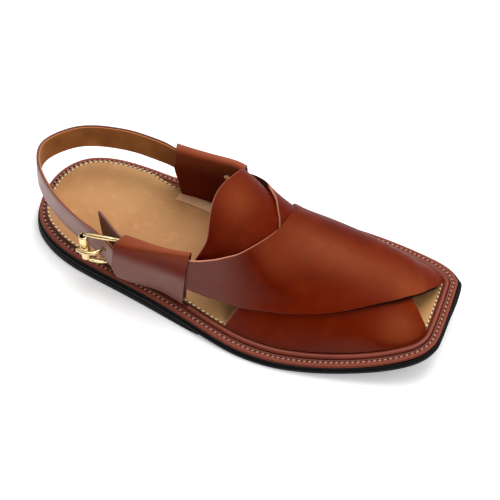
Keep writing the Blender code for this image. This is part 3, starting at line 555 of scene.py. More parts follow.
def shell(name, top, bot, mats, bulge=.42, nphi=8, gains=(1, 1, 1, 1), edge_top=0.0, cut_mat=0, **kw):
    """Solid sheet between two grids, with its cut edges turned round. Faces of the
    bottom grid take the second material if there is one. gains is how pale the cut is
    along the first column, last column, first row and last row; a negative gain paints
    the cut near black instead, as painted shade of a shadowed gap beside it."""
    top, bot = np.asarray(top, float), np.asarray(bot, float)
    n, m = top.shape[:2]
    N = n * m
    idx = np.arange(N).reshape(n, m)
    a, b, c, d = idx[:-1, :-1], idx[1:, :-1], idx[1:, 1:], idx[:-1, 1:]
    faces = [np.stack([a, b, c, d], -1).reshape(-1, 4), N + np.stack([a, d, c, b], -1).reshape(-1, 4)]
    rim = np.array([(i, 0) for i in range(n)] + [(n - 1, j) for j in range(1, m)]
                   + [(i, m - 1) for i in range(n - 2, -1, -1)] + [(0, j) for j in range(m - 2, 0, -1)])
    ri, rj = rim[:, 0], rim[:, 1]
    first = gains[0](ri / (n - 1)) if callable(gains[0]) else gains[0]
    pale = np.where(rj == 0, first, np.where(rj == m - 1, gains[1], np.where(ri == 0, gains[2], gains[3])))
    ii, jj = np.clip(ri, 1, n - 2), np.clip(rj, 1, m - 2)
    T, B = top[ri, rj], bot[ri, rj]
    mid, half = (T + B) / 2, (T - B) / 2
    e = mid - (top[ii, jj] + bot[ii, jj]) / 2
    unit = lambda v: v / (np.linalg.norm(v, axis=-1, keepdims=True) + 1e-12)
    tan, hn = unit(np.roll(mid, -1, 0) - np.roll(mid, 1, 0)), unit(half)
    e = e - tan * np.sum(e * tan, -1, keepdims=True)
    e = unit(e - hn * np.sum(e * hn, -1, keepdims=True))
    ids_t = ri * m + rj
    rings, k0 = [ids_t], 2 * N
    V, E = [top.reshape(-1, 3), bot.reshape(-1, 3)], [np.zeros(2 * N)]
    E[0][ids_t] = edge_top * pale
    # negative gains carry onto the bottom rim and the turned cut as painted shade near black
    E[0][N + ids_t] = np.minimum(pale, 0)
    L = len(rim)
    for k in range(1, nphi):
        phi = np.pi * k / nphi
        V.append(mid + half * np.cos(phi) + e * bulge * np.sin(phi))
        E.append(np.where(pale < 0, pale * min(1.0, 2.2 * np.sin(phi)), pale * min(1.0, 1.25 * np.sin(phi)) ** 1.5))
        rings.append(np.arange(k0, k0 + L))
        k0 += L
    rings.append(N + ids_t)
    for p, q in zip(rings, rings[1:]):
        faces.append(np.stack([np.roll(p, -1), p, q, np.roll(q, -1)], -1))
    mat_ids = np.concatenate([np.zeros(len(faces[0])), np.ones(len(faces[1])) * (len(mats) > 1),
                              np.full(sum(len(f) for f in faces[2:]), cut_mat)])
    return piece(name, np.vstack(V), np.vstack(faces), mats, mat_ids, np.concatenate(E), **kw)


def tube(name, path, radius, mats, ref, sides=14, closed=False, flat=1.0, **kw):
    """Round bar along a path; radius is one number or one per point."""
    V, F = tube_mesh(path, radius, ref, sides, closed, flat)
    return piece(name, V, F, mats, smooth=60, **kw)


def tube_mesh(path, radius, ref, sides=14, closed=False, flat=1.0):
    P = np.asarray(path, float)
    n = len(P)
    r = np.broadcast_to(np.asarray(radius, float), (n,))
    T = (np.roll(P, -1, 0) - np.roll(P, 1, 0)) if closed else np.gradient(P, axis=0)
    T /= np.linalg.norm(T, axis=1, keepdims=True)
    R = np.broadcast_to(np.asarray(ref, float), P.shape)
    e1 = R - T * np.sum(R * T, 1, keepdims=True)
    e1 /= np.linalg.norm(e1, axis=1, keepdims=True)
    e2 = np.cross(T, e1)
    a = np.linspace(0, 2 * np.pi, sides, endpoint=False)
    rings = (P[:, None] + (e1[:, None] * np.cos(a)[None, :, None] * flat
                           + e2[:, None] * np.sin(a)[None, :, None]) * r[:, None, None])
    i = np.arange(n if closed else n - 1)[:, None]
    k = np.arange(sides)[None, :]
    j = (i + 1) % n
    F = np.stack([i * sides + k, i * sides + (k + 1) % sides, j * sides + (k + 1) % sides, j * sides + k],
                 -1).reshape(-1, 4).tolist()
    V = rings.reshape(-1, 3)
    if not closed:
        V = np.vstack([V, P[:1], P[-1:]])
        F += [((q + 1) % sides, q, n * sides) for q in range(sides)]
        F += [((n - 1) * sides + q, (n - 1) * sides + (q + 1) % sides, n * sides + 1) for q in range(sides)]
    return V, F


def beads(name, centre, along_dir, side_dir, up_dir, L, W, H, mat, power=2.6, rings=8, sides=8, lift=0.0, **kw):
    """Many small rounded stitches as one mesh."""
    u = -np.cos(np.linspace(0, np.pi, rings + 1))[1:-1]
    rad = (1 - np.abs(u) ** power) ** (1 / power)
    a = np.linspace(0, 2 * np.pi, sides, endpoint=False)
    X = np.concatenate([[-1], np.repeat(u, sides), [1]]) * L / 2
    Y = np.concatenate([[0], np.outer(rad, np.cos(a)).ravel(), [0]]) * W / 2
    Z = np.concatenate([[0], np.outer(rad, np.sin(a)).ravel(), [0]]) * H / 2 + lift
    C = np.asarray(centre, float)
    V = (C[:, None] + along_dir[:, None] * X[None, :, None] + side_dir[:, None] * Y[None, :, None]
         + up_dir[:, None] * Z[None, :, None])
    k = len(X)
    f = [(0, 1 + (q + 1) % sides, 1 + q, 1 + q) for q in range(sides)]
    tri = [(0, 1 + (q + 1) % sides, 1 + q) for q in range(sides)]
    nr = len(u)
    quad = [(1 + r * sides + q, 1 + r * sides + (q + 1) % sides, 1 + (r + 1) * sides + (q + 1) % sides,
             1 + (r + 1) * sides + q) for r in range(nr - 1) for q in range(sides)]
    tri += [(1 + (nr - 1) * sides + q, 1 + (nr - 1) * sides + (q + 1) % sides, k - 1) for q in range(sides)]
    F = []
    for b in range(len(C)):
        o = b * k
        F += [tuple(v + o for v in t) for t in tri] + [tuple(v + o for v in t) for t in quad]
    return piece(name, V.reshape(-1, 3), F, [mat], smooth=80, **kw)


def loop_of(inset, n=1400):
    """Closed line inside the footprint: lateral half heel to toe, then medial back."""
    l, m = halves(outline(inset))
    h = n // 2
    a, b = resample(l, h + 1), resample(m, h + 1)
    a[0] = b[0] = (a[0] + b[0]) / 2
    a[-1] = b[-1] = (a[-1] + b[-1]) / 2
    return np.vstack([a[:-1], b[1:][::-1]])


def inward(loop, passes=6):
    t = np.roll(loop, -1, 0) - np.roll(loop, 1, 0)
    for _ in range(passes):
        t = .25 * np.roll(t, 1, 0) + .5 * t + .25 * np.roll(t, -1, 0)
    t /= np.linalg.norm(t, axis=1, keepdims=True)
    return np.stack([-t[:, 1], t[:, 0]], -1)


def sole_layer(name, loop, profile, base, mats, cols=10, edge=None, floor=None, lid=None, **kw):
    """Solid whose rim follows a profile of (inset, height) pairs, from its lower inner
    line out and up to its upper inner line, closed by rows across."""
    n = len(loop)
    nrm = inward(loop)
    V, F, E, ids = [], [], [], []
    for q, (d, h) in enumerate(profile):
        P = loop + nrm * d
        V.append(np.column_stack([P, base(P[:, 0]) + h]))
        E.append(np.full(n, 0.0 if edge is None else edge[q]))
    k = len(profile)
    i = np.arange(n)
    for q in range(k - 1):
        F.append(np.stack([q * n + i, q * n + (i + 1) % n, (q + 1) * n + (i + 1) % n, (q + 1) * n + i], -1))
    F = np.vstack(F).tolist()
    count = k * n
    half = n // 2
    w = np.linspace(0, 1, cols + 2)[1:-1]
    for ring, shape in ((0, floor), (k - 1, lid)):
        R = V[ring]
        lat, med = R[1:half], R[half + 1:][::-1]
        rows = lat[:, None] * (1 - w)[None, :, None] + med[:, None] * w[None, :, None]
        if shape is not None:
            rows[..., 2] += shape(rows[..., 0], rows[..., 1])
        m = len(lat)
        ids_ = count + np.arange(m * cols).reshape(m, cols)
        count += m * cols
        V.append(rows.reshape(-1, 3))
        E.append(np.zeros(m * cols))
        full = np.column_stack([ring * n + np.arange(1, half), ids_, ring * n + np.arange(n - 1, half, -1)])
        a, b, c, d = full[:-1, :-1], full[1:, :-1], full[1:, 1:], full[:-1, 1:]
        quads = np.stack([a, b, c, d], -1).reshape(-1, 4)
        fans = [(ring * n, full[0, j], full[0, j + 1]) for j in range(cols + 1)]
        fans += [(ring * n + half, full[-1, j + 1], full[-1, j]) for j in range(cols + 1)]
        if ring == 0:
            quads = quads[:, ::-1]
            fans = [f[::-1] for f in fans]
        else:
            pass
        F += quads.tolist() + fans
    # the rim's faces and the rows must turn the same way round
    return piece(name, np.vstack(V), F, mats, None, np.concatenate(E), **kw)


# ========================================================================= sole
def arc(cx, cz, r, a0, a1, n):
    return [(cx - r * math.cos(math.radians(a)), cz + r * math.sin(math.radians(a)))
            for a in np.linspace(a0, a1, n)]


OUT = loop_of(0.0)
RUB = OUT - inward(OUT) * (.8 + 1.0 * smoothstep(235, 275, OUT[:, 0])
                           + 1.1 * smoothstep(240, 262, OUT[:, 0]) * smoothstep(0, 25, OUT[:, 1]))[:, None]     # rubber stands proud of the welt


def tread(x, y):
    """Shallow cross ribs pressed into the underside of the rubber."""
    rib = smoothstep(-.25, .45, np.sin((x + .35 * np.abs(y - 4)) * 2 * np.pi / 7.0))
    l, m = along(TREAD_L, x), along(TREAD_M, x)
    inside = smoothstep(0, 1.2, np.minimum(y - l, m - y))
    zone = np.maximum(smoothstep(120, 126, x) * smoothstep(272, 264, x), 0)
    return .9 * rib * inside * zone


TREAD_L, TREAD_M = halves(outline(7.0))
side = [(3.2, -SOLE_T), (1.2, -SOLE_T)] + arc(.8, -SOLE_T + .8, .8, -90, 0, 6)[1:]
side += [(0, -3.4), (0, -2.7), (.05, -2.35), (.2, -2.12), (.5, -2.0), (1.0, -1.92), (1.15, -1.75), (1.2, -1.4), (1.2, -.5)]
side += [(1.24, -.12), (1.4, 0), (2.2, 0), (4.6, 0)]
sole_layer("rubber_outsole", RUB, side, z_out, [RUBBER], cols=40, floor=tread, cad=("outsole",), slot="sole_rubber")

# heel block, its front edge slanting
cl, cm = halves(RUB)
f = np.concatenate([[0, .0004, .0016, .004, .008, .014, .022, .033, .047, .065, .09, .12], np.linspace(.16, .97, 40), [.985, .995, 1.0]])
hx0 = max(cl[0, 0], cm[0, 0])
top_l, top_m = hx0 + (138 - hx0) * f, hx0 + (103 - hx0) * f
bot_l, bot_m = hx0 + (112 - hx0) * f, hx0 + (89 - hx0) * f
cols = fine(20, 90, (.4, 1.2, 2.6))[None, :, None]
lidz = lambda x: z_out(x) - SOLE_T - GAP
tl, tm = np.stack([top_l, along(cl, top_l), lidz(top_l)], -1), np.stack([top_m, along(cm, top_m), lidz(top_m)], -1)
bl, bm = np.stack([bot_l, along(cl, bot_l), 0 * f], -1), np.stack([bot_m, along(cm, bot_m), 0 * f], -1)
T_ = tl[:, None] * (1 - cols) + tm[:, None] * cols
B_ = bl[:, None] * (1 - cols) + bm[:, None] * cols
shell("rubber_heel_block", T_, B_, [RUBBER], bulge=.35, nphi=10, edge_top=0, cad=("heel_lift",), slot="sole_rubber")

# welt: rounded edge, bead, braid channel
WL = loop_of(0.3)
prof = [(3.0, GAP - WELT_T), (1.0, GAP - WELT_T), (.35, GAP - WELT_T + .06), (.08, GAP - WELT_T + .3),
        (0, GAP - WELT_T + .7), (-.03, -1.5), (0, -.75)]
prof += [(.12, -.42), (.36, -.16), (.7, -.03), (1.1, 0), (1.5, -.03), (1.85, -.16), (2.05, -.38), (2.2, -.5),
         (2.6, -.52), (3.3, -.42), (3.9, -.48), (4.15, -.5), (4.3, -.38), (4.5, -.3), (4.75, -.3), (5.0, -.42),
         (5.2, -.75), (5.4, -.8), (5.6, -.5), (6.0, -.1), (6.8, -.05)]
w_edge = [0] * 7 + [.4, .9, 1, 1, 1, .9, .5] + [0] * (len(prof) - 14)
sole_layer("welt_strip", WL, prof, z_welt, [WELT], cols=8, edge=w_edge, cad=("midsole",), slot="welt_leather")


def edge_frame(loop, pitch, z, phase=0.0):
    """Evenly spaced places along a closed line on the sole, with their directions."""
    q = np.vstack([loop, loop[:1]])
    s = np.concatenate([[0], np.cumsum(np.linalg.norm(np.diff(q, axis=0), axis=1))])
    n = int(round(s[-1] / pitch))
    u = (np.arange(n) + phase) * s[-1] / n
    d = .4
    at = lambda u_: np.stack([np.interp(u_ % s[-1], s, q[:, 0]), np.interp(u_ % s[-1], s, q[:, 1])], -1)
    P, A, B = at(u), at(u + d), at(u - d)
    lift = lambda p: np.column_stack([p, z(p[:, 0])])
    T = lift(A) - lift(B)
    T /= np.linalg.norm(T, axis=1, keepdims=True)
    S2 = np.stack([-T[:, 1], T[:, 0]], -1)
    S = lift(P + S2) - lift(P)
    S /= np.linalg.norm(S, axis=1, keepdims=True)
    N = np.cross(T, S)
    return lift(P), T, S, N


# braid: pale stitches with dark discs of painted shade for the needle holes between them, and a twisted strand each
# side
PITCH = 3.45
bc, bt, bs, bn = edge_frame(loop_of(3.2), PITCH, lambda x: z_welt(x) - .38)
slant = bt * .93 + bs * .36
slant /= np.linalg.norm(slant, axis=1, keepdims=True)
beads("braid_stitches", bc, slant, np.cross(bn, slant), bn, 2.0, 1.3, 1.0, BRAID, lift=.1, slot="welt_leather")
hc, ht, hs, hn_ = edge_frame(loop_of(3.3), PITCH, lambda x: z_welt(x) - .44, .5)
beads("braid_hole_shades", hc, ht, hs, hn_, .95, 1.3, .3, HOLE_SHADE, power=2.2, lift=.05, slot="welt_leather")


def twisted(name, inset, z, r, strand, pitch, mat, plies=2, **kw):
    """Cord of twisted plies lying along the edge."""
    loop = loop_of(inset, 2400)
    P = np.column_stack([loop, z(loop[:, 0])])
    T = np.roll(P, -1, 0) - np.roll(P, 1, 0)
    T /= np.linalg.norm(T, axis=1, keepdims=True)
    S = np.cross((0, 0, 1.0), T)
    S /= np.linalg.norm(S, axis=1, keepdims=True)
    N = np.cross(T, S)
    q = np.vstack([P, P[:1]])
    s = np.concatenate([[0], np.cumsum(np.linalg.norm(np.diff(q, axis=0), axis=1))])
    turns = round(s[-1] / pitch)
    a = 2 * np.pi * turns * s[:-1] / s[-1]
    V, F, o = [], [], 0
    for k in range(plies):
        ph = a + 2 * np.pi * k / plies
        c = P + (S * np.cos(ph)[:, None] + N * np.sin(ph)[:, None]) * r
        v, f_ = tube_mesh(c, strand, (0, 0, 1), 6, True)
        V.append(v)
        F.append(np.asarray(f_) + o)
        o += len(v)
    return piece(name, np.vstack(V), np.vstack(F), [mat], smooth=80, **kw)


twisted("braid_strand_inner", 4.6, lambda x: z_welt(x) - .18, .2, .32, 3.45, BRAID_DEEP, slot="welt_leather")
twisted("braid_strand_outer", 2.12, lambda x: z_welt(x) - .42, .13, .22, 3.45, BRAID_DEEP, slot="welt_leather")

# rolled piping round the forefoot
loop = outline(7.6, 1440)
pl, pm = halves(loop)
path = np.vstack([pl[pl[:, 0] > 125.5], pm[pm[:, 0] > 134.0][::-1]])
path = open_spline(path[::8], 460)
for _ in range(6):
    path[1:-1] = .25 * path[:-2] + .5 * path[1:-1] + .25 * path[2:]
tang = np.gradient(path, axis=0)
tang /= np.linalg.norm(tang, axis=1, keepdims=True)
sd = np.stack([-tang[:, 1], tang[:, 0]], -1)
sec = open_spline([(-1.6, -.1), (-1.86, .5), (-1.8, 1.1), (-1.35, 1.72), (-.7, 2.08), (0, 2.2), (.7, 2.05), (1.3, 1.68), (1.72, 1.1),
                   (1.78, .5), (1.6, -.1)], 22)
R = np.array([[(p[0] + q[0] * a, p[1] + q[1] * a, float(z_welt(p[0] + q[0] * a)) + h) for a, h in sec]
              for p, q in zip(path, sd)])
n_, m_ = R.shape[:2]
Fp = []
for i in range(n_ - 1):
    for k in range(m_):
        a, b = i * m_ + k, i * m_ + (k + 1) % m_
        Fp.append((a, b, b + m_, a + m_))
Fp += [tuple(range(m_ - 1, -1, -1)), tuple((n_ - 1) * m_ + k for k in range(m_))]
piece("piping_roll", R.reshape(-1, 3), Fp, [PIPE], smooth=60, cad=("piping",), slot="welt_leather")


# ======================================================================= footbed
def footbed_loop(extra, n=1400):
    a, b = loop_of(5.2 + extra, n), loop_of(9.45 + extra, n)
    k = smoothstep(60, 80, a[:, 0])[:, None]
    L = a * (1 - k) + b * k
    under = smoothstep(160, 172, L[:, 0]) * smoothstep(262, 250, L[:, 0])
    L = L + inward(L) * (.95 * under)[:, None]
    for _ in range(8):
        L = .25 * np.roll(L, 1, 0) + .5 * L + .25 * np.roll(L, -1, 0)
    return L


FB = footbed_loop(0.0)
prof = [(1.5, GAP), (.3, GAP), (.08, GAP + .12), (0, GAP + .35), (-.02, .9)]
prof += [(c - .02, h) for c, h in arc(.55, INSOLE_T - .55, .55, 0, 90, 7)]
prof += [(.68, INSOLE_T), (.88, INSOLE_T - .04), (1.1, INSOLE_T - .2), (1.4, INSOLE_T - .2), (1.65, INSOLE_T - .04), (2.0, INSOLE_T)]
prof += [(3.2, INSOLE_T), (5.0, INSOLE_T)]
f_edge = [1, 1, 1, 1, 1] + [1, 1, 1, 1, .95, .9, .85] + [.75, .6, .45, .3, .08, 0, 0, 0]
sole_layer("footbed", FB, prof, z_welt, [INSOLE], cols=16, edge=f_edge, cad=("insole",), slot="insole_leather")

sc, st, ss, sn = edge_frame(footbed_loop(1.22), 3.5, lambda x: z_ins(x) - .16)
beads("footbed_stitches", sc, st * .985 + ss * .17, ss, sn, 2.5, 1.35, 1.0, CREAM, lift=.1, slot="insole_leather")
# dark discs of painted shade for the stitch holes between the cream stitches
gc, gt, gs, gn = edge_frame(footbed_loop(1.12), 3.5, lambda x: z_ins(x) - .2, .5)
beads("footbed_stitch_hole_shades", gc, gt, gs, gn, 1.25, 1.35, .34, HOLE_SHADE, power=2.2, lift=.04, slot="insole_leather")

# tan tab on the footbed below the medial keeper
U = fine(30, 28, (.25, .7, 1.4))[:, None]
Vv = fine(12, 9, (.25, .7, 1.4))[None, :]
o0, o1 = np.array([87.5, 40.6]), np.array([119.0, 38.0])
i0, i1 = np.array([86.5, 32.4]), np.array([122.0, 31.0])
XY = ((o0 * (1 - U[..., None]) + o1 * U[..., None]) * (1 - Vv[..., None])
      + (i0 * (1 - U[..., None]) + i1 * U[..., None]) * Vv[..., None])
zt = z_ins(XY[..., 0])
tab = smoothstep(0, .12, Vv) * smoothstep(0, .05, U) + 0 * zt + .15
shell("footbed_tab", np.concatenate([XY, (zt + .5 * tab)[..., None]], -1), np.concatenate([XY, (zt - .1)[..., None]], -1),
      [TAB], bulge=.25, edge_top=.2, slot="insole_leather")


# ========================================================================= upper
ACROSS = 60.0


def sample(D, u):
    x = np.asarray(u, float) * (len(D) - 1)
    i = np.arange(len(D))
    return np.stack([np.interp(x, i, D[:, j]) for j in range(D.shape[1])], -1)


def patch(rear, front, foot, U, V):
    w = (1.0, ACROSS)
    R, F_ = sample(open_spline(rear, 1201, w), U), sample(open_spline(front, 1201, w), U)
    R[:, 1], F_[:, 1] = np.clip(R[:, 1], -1, 1), np.clip(F_[:, 1], -1, 1)
    a = V[:, None]
    E0 = R[0] * (1 - a) + F_[0] * a
    E1 = sample(open_spline(foot, 801, w), V) if foot is not None else R[-1] * (1 - a) + F_[-1] * a
    E1[0], E1[-1] = R[-1], F_[-1]
    E1[:, 1] = np.clip(E1[:, 1], -1, 1)
    u, v = U[:, None, None], V[None, :, None]
    return ((1 - v) * R[:, None] + v * F_[:, None] + (1 - u) * E0[None] + u * E1[None]
            - ((1 - u) * (1 - v) * R[0] + u * (1 - v) * R[-1] + (1 - u) * v * F_[0] + u * v * F_[-1]))


def foot_line(t0, side_, t1):
    return [(t, side_) for t in np.linspace(t0, t1, 22)]


UF = np.asarray(UNDER_BAND_FRONT, float)


def band_top(t, s):
    edge = np.interp(t, UF[:, 0], UF[:, 1])
    full = edge + .28 + (.72 - edge) * (1 - smoothstep(248, 268, t))
    return 6.3 - 1.9 * smoothstep(edge + .03, full, s) * smoothstep(138, 142, t)


def band_under(t, s):
    return (4.3 + 1.8 * (1 - smoothstep(132, 155, t)) * smoothstep(.3, .6, s)
            + 1.5 * (1 - smoothstep(142, 172, t)) * smoothstep(.15, .5, s))


def dent(t, s, t0, s0, lt, ls, turn, depth):
    """Soft trough (or ridge) centred on a place of the form."""
    a = math.radians(turn)
    dx, dy = t - t0, (s - s0) * ACROSS
    u, v = dx * math.cos(a) + dy * math.sin(a), -dx * math.sin(a) + dy * math.cos(a)
    return depth * np.exp(-(u / lt) ** 2 - (v / ls) ** 2)


def creases_top(t, s):
    """Gentle unevenness of a lasted band, new and never on a foot."""
    return (dent(t, s, 176, .15, 16, 30, 12, -.35) + dent(t, s, 205, -.10, 14, 34, 20, .30)
            + dent(t, s, 232, .25, 15, 26, 10, -.28) + dent(t, s, 150, -.62, 10, 20, -20, .22)
            + dent(t, s, 190, .62, 20, 9, 4, .25))


def creases_under(t, s):
    return dent(t, s, 200, -.86, 22, 9, 0, -.35) + dent(t, s, 238, -.72, 12, 12, 0, .30) + dent(t, s, 172, -.8, 9, 14, 0, .22)


def painted_highlight_spots(v, *places):
    """Soft painted highlights, lighter patches of the colour: (x, y, half length, half width, turn in degrees,
    strength).
    """
    out = np.zeros(len(v))
    for x0, y0, a, b, turn, k in places:
        c, s_ = math.cos(math.radians(turn)), math.sin(math.radians(turn))
        dx, dy = v[:, 0] - x0, v[:, 1] - y0
        out = out + k * np.exp(-((dx * c + dy * s_) / a) ** 2 - ((dy * c - dx * s_) / b) ** 2)
    return np.clip(out, 0, .8)


U = fine(190, 235, (.5, 1.2, 2.2))
V = fine(72, 60, (.25, .7, 1.5))
G = patch(TOP_BAND_REAR, TOP_BAND_FRONT, foot_line(162.8, 1.0, 278.4), U, V)
t, s = G[..., 0], np.clip(G[..., 1], -1, 1)
o = band_top(t, s) + creases_top(t, s)
o = o + .75 * smoothstep(.80, 1.0, np.broadcast_to(V[None, :], t.shape)) * smoothstep(150, 190, t) * (1 + .7 * smoothstep(225, 262, t)) * smoothstep(279, 272, t)
o = o + .55 * smoothstep(.90, 1, s)
Q = skin(t, s, o), skin(t, s, o - 1.95)
for q in Q:
    q[..., 2] -= .28 * smoothstep(.93, 1, s)
d = Q[0][:, -1] - Q[0][:, -6]
d /= np.linalg.norm(d, axis=1, keepdims=True)
Q[1][:] += d[:, None] * (1.5 * smoothstep(.96, 1, V)[None, :] * smoothstep(195, 255, t) * smoothstep(278.5, 272, t))[..., None]
# painted shade: the front cut and the far end of the rear cut are painted near black for the shadowed gap beside them;
# the mask paints a greyish reflection on steep outer-side faces and painted highlights at four spots
shell("upper_top_band", *Q, [UPPER, SUEDE], gains=(lambda u: 1 - 1.5 * smoothstep(.46, .57, u), -1, .6, .6), edge_top=.3,
      bloom=lambda v, n: (.9 * smoothstep(.86, .40, n[:, 2]) * (n[:, 1] < 0) * smoothstep(222, 120, v[:, 0])
                          - painted_highlight_spots(v, (196, 4, 30, 14, -6, .30), (245, 6, 34, 14, -4, .24), (268, -2, 14, 12, 0, .18),
                                 (170, -16, 22, 14, 10, .16))), cad=("upper",), slot="upper_leather")

U = fine(160, 190, (.5, 1.2, 2.2))
V = fine(64, 60, (.25, .7, 1.5))
G = patch(UNDER_BAND_REAR, UNDER_BAND_FRONT, foot_line(153.7, -1.0, 279.0), U, V)
t, s = G[..., 0], np.clip(G[..., 1], -1, 1)
o = band_under(t, s) + creases_under(t, s)
o = o + .55 * smoothstep(.90, 1, -s)
Q = skin(t, s, o), skin(t, s, o - 1.85)
for q in Q:
    q[..., 2] -= .28 * smoothstep(.93, 1, -s)
# painted shade: the rear cut is painted near black over its first stretch (u below about .28); the mask paints a
# greyish reflection on steep outer-side faces and a painted highlight near the toe
shell("upper_under_band", *Q, [UPPER, SUEDE], gains=(lambda u: -.8 + 1.8 * smoothstep(.24, .31, u), .45, .6, .1), edge_top=.25,
      bloom=lambda v, n: (.6 * smoothstep(.62, .22, n[:, 2]) * (n[:, 1] < 0) - painted_highlight_spots(v, (262, -22, 13, 11, 30, .30))), cad=("upper",), slot="upper_leather")

w = (1.0, ACROSS)
U = fine(90, 110, (.5, 1.2, 2.2))
Rr, Ff = sample(open_spline(TONGUE_REAR, 1201, w), U), sample(open_spline(TONGUE_FRONT, 1201, w), U)
V = fine(34, 40, (.25, .7, 1.5))[None, :, None]
G = Rr[:, None] * (1 - V) + Ff[:, None] * V
rise = 1.4 * smoothstep(.05, .45, G[..., 1]) * (1 - smoothstep(140, 165, G[..., 0]))
# the mask paints a painted highlight on the tongue near x 138 mm
shell("tongue_leather", skin(G[..., 0], G[..., 1], 1.8 + rise), skin(G[..., 0], G[..., 1], 0.05 + rise), [UPPER, SUEDE], bulge=.45,
      gains=(.8, 0, .2, .2), edge_top=.2, bloom=lambda v, n: -painted_highlight_spots(v, (138, 6, 12, 17, 0, .26)), cad=("tongue",), slot="upper_leather")


# ======================================================================= keepers
def spread(e, x):
    k = 1 - smoothstep(78, 112, x)
    return e["out"] * k, e["inn"] * k


def keeper(name, e, cad, fuller, lift, back, ahead, front, bloom, nx=34, npf=96):
    side_ = e["side"]
    (cx0, cz0), (cx1, cz1) = e["crest"]
    ro, ri = np.array(e["rear_outer"]), np.array(e["rear_inner"])
    ro, ri = open_spline(ro, 60, (40, 1)), open_spline(ri, 60, (40, 1))
    outer, inner = [], []
    for u in fine(nx, 48, (.25, .7, 1.5)):
        xc = cx0 + (front - cx0) * u
        wo, wi = spread(e, xc)
        wi += fuller[0] + (fuller[1] - fuller[0]) * u
        mid = 5.2 + (wo - wi) / 2
        r = 1.5 + (wo + wi) / 2
        crest = np.interp(xc, [cx0, cx1], [cz0, cz1]) + lift[0] + (lift[1] - lift[0]) * u
        s_top = across_at(xc, side_, mid, crest - r - 1.7)
        rows = []

        def leg(h, rear, o_out, o_in, flare):
            x = np.interp(h, rear[:, 0], rear[:, 1])
            x = x + (front - x) * u
            if o_out < 6:
                x = x + np.interp(h, (0, .2, .4, .6), ahead) * (1 - u)
            s_ = side_ * 1.0 + (s_top - side_) * h
            fl = flare * (1 - smoothstep(72, 112, x)) * (1 - h) ** 1.5
            a, b = skin(x, s_, o_out), skin(x, s_, o_in)
            a[0] = b[0] = x
            a[1] += side_ * fl
            b[1] += side_ * fl
            return a, b
        for h in (0, .1, .2, .3, .4, .5, .6):
            a, b = leg(h, ro, 8.4 + wo, 6.7 + wo, e["flare"])
            rows.append(np.concatenate([a, b]))
        c = skin(xc, s_top, mid)
        n, up = axes(xc, s_top)
        n = np.array([0, n[1], n[2]]) / np.hypot(n[1], n[2])
        up = np.array([0, up[1], up[2]]) / np.hypot(up[1], up[2])
        c[0] = xc
        for a in np.radians((30, 60, 90, 120, 150)):
            t_out = 1.7 - .4 * a / np.pi
            c[0] = xc - np.interp(a, np.radians((30, 60, 90, 120, 150)), back) * (1 - u)
            rows.append(np.concatenate([c + n * (r + t_out) * np.cos(a) + up * (r + t_out) * np.sin(a),
                                        c + n * r * np.cos(a) + up * r * np.sin(a)]))
        for h in (.56, .45, .33, .22, .11, 0):
            a, b = leg(h, ri, 3.7 - wi, 2.4 - wi, 0.0)
            rows.append(np.concatenate([b, a]))
        prof_ = open_spline(rows, npf, (1, 1, 1, .25, .25, .25), 16)
        for _ in range(14):
            prof_[1:-1] = .25 * prof_[:-2] + .5 * prof_[1:-1] + .25 * prof_[2:]
        outer.append(prof_[:, :3]), inner.append(prof_[:, 3:])
    # the front end's cut takes a negative gain: painted shade near black for the gap in front of it
    return shell(name, outer, inner, [KEEPER, SUEDE], bulge=.4, gains=(.5, .25, .5, -.8), cad=cad,
                 slot="upper_leather", bloom=bloom)


# last argument: painted light mask. Lateral keeper: greyish painted reflection on its low, steep outer faces; both
# keepers: painted highlights, lighter on upward faces and towards the crest
keeper("keeper_lateral", EAR_LATERAL, ("ear_lateral",), (3.2, .8), (-5.0, 2.0), (7.0, 5.6, 4.2, 3.4, 3.0), (0, 0, 0, 0),
       EAR_LATERAL["front"] - 2.0,
       lambda v, n: (.85 * smoothstep(.52, .12, n[:, 2]) * (n[:, 1] < 0) * smoothstep(45, 35, v[:, 2])
                     - .15 * smoothstep(.45, .95, n[:, 2]) * smoothstep(30, 45, v[:, 2]) - .20 * smoothstep(44, 56, v[:, 2])))
keeper("keeper_medial", EAR_MEDIAL, ("ear_medial",), (2.2, 2.0), (2.4, 5.5), (1.6, 1.0, .6, 0, -.6), (2.6, 3.0, 2.4, .6),
       EAR_MEDIAL["front"], lambda v, n: -.14 * smoothstep(.25, .95, n[:, 2]) * smoothstep(30, 45, v[:, 2]) - .22 * smoothstep(38, 60, v[:, 2]))


# ==================================================================== back strap
def in_ear(x, side_, off, z):
    return float(skin(x, across_at(x, side_, off, z), off)[1])


rows = []
for x in (102, 97, 92, 86, 80):
    wo, _ = spread(EAR_MEDIAL, x)
    rows.append((x, in_ear(x, 1, 6.3 + wo * .5, 50), 52.0))
rows += STRAP
for x, z in ((70, 38.9), (76, 38.0), (84, 37.8), (92, 37.6)):
    wo, _ = spread(EAR_LATERAL, x)
    rows.append((x, in_ear(x, -1, 6.3 + wo, 30), z))
P = open_spline(rows, 420)
tan2 = np.gradient(P[:, :2], axis=0)
for _ in range(4):
    tan2[1:-1] = .25 * tan2[:-2] + .5 * tan2[1:-1] + .25 * tan2[2:]
tan2 /= np.linalg.norm(tan2, axis=1, keepdims=True)
inw = np.stack([-tan2[:, 1], tan2[:, 0]], -1)
half = len(P) // 2
drop = np.concatenate([[0, .25, .6, 1.1, 1.5, 1.75, 1.95, 2.15, 2.4, 2.9], np.linspace(3.6, 15.9, 14),
                       [16.6, 17.1, 17.35, 17.55, 17.75, 18.0, 18.4, 18.9, 19.25, 19.5]])


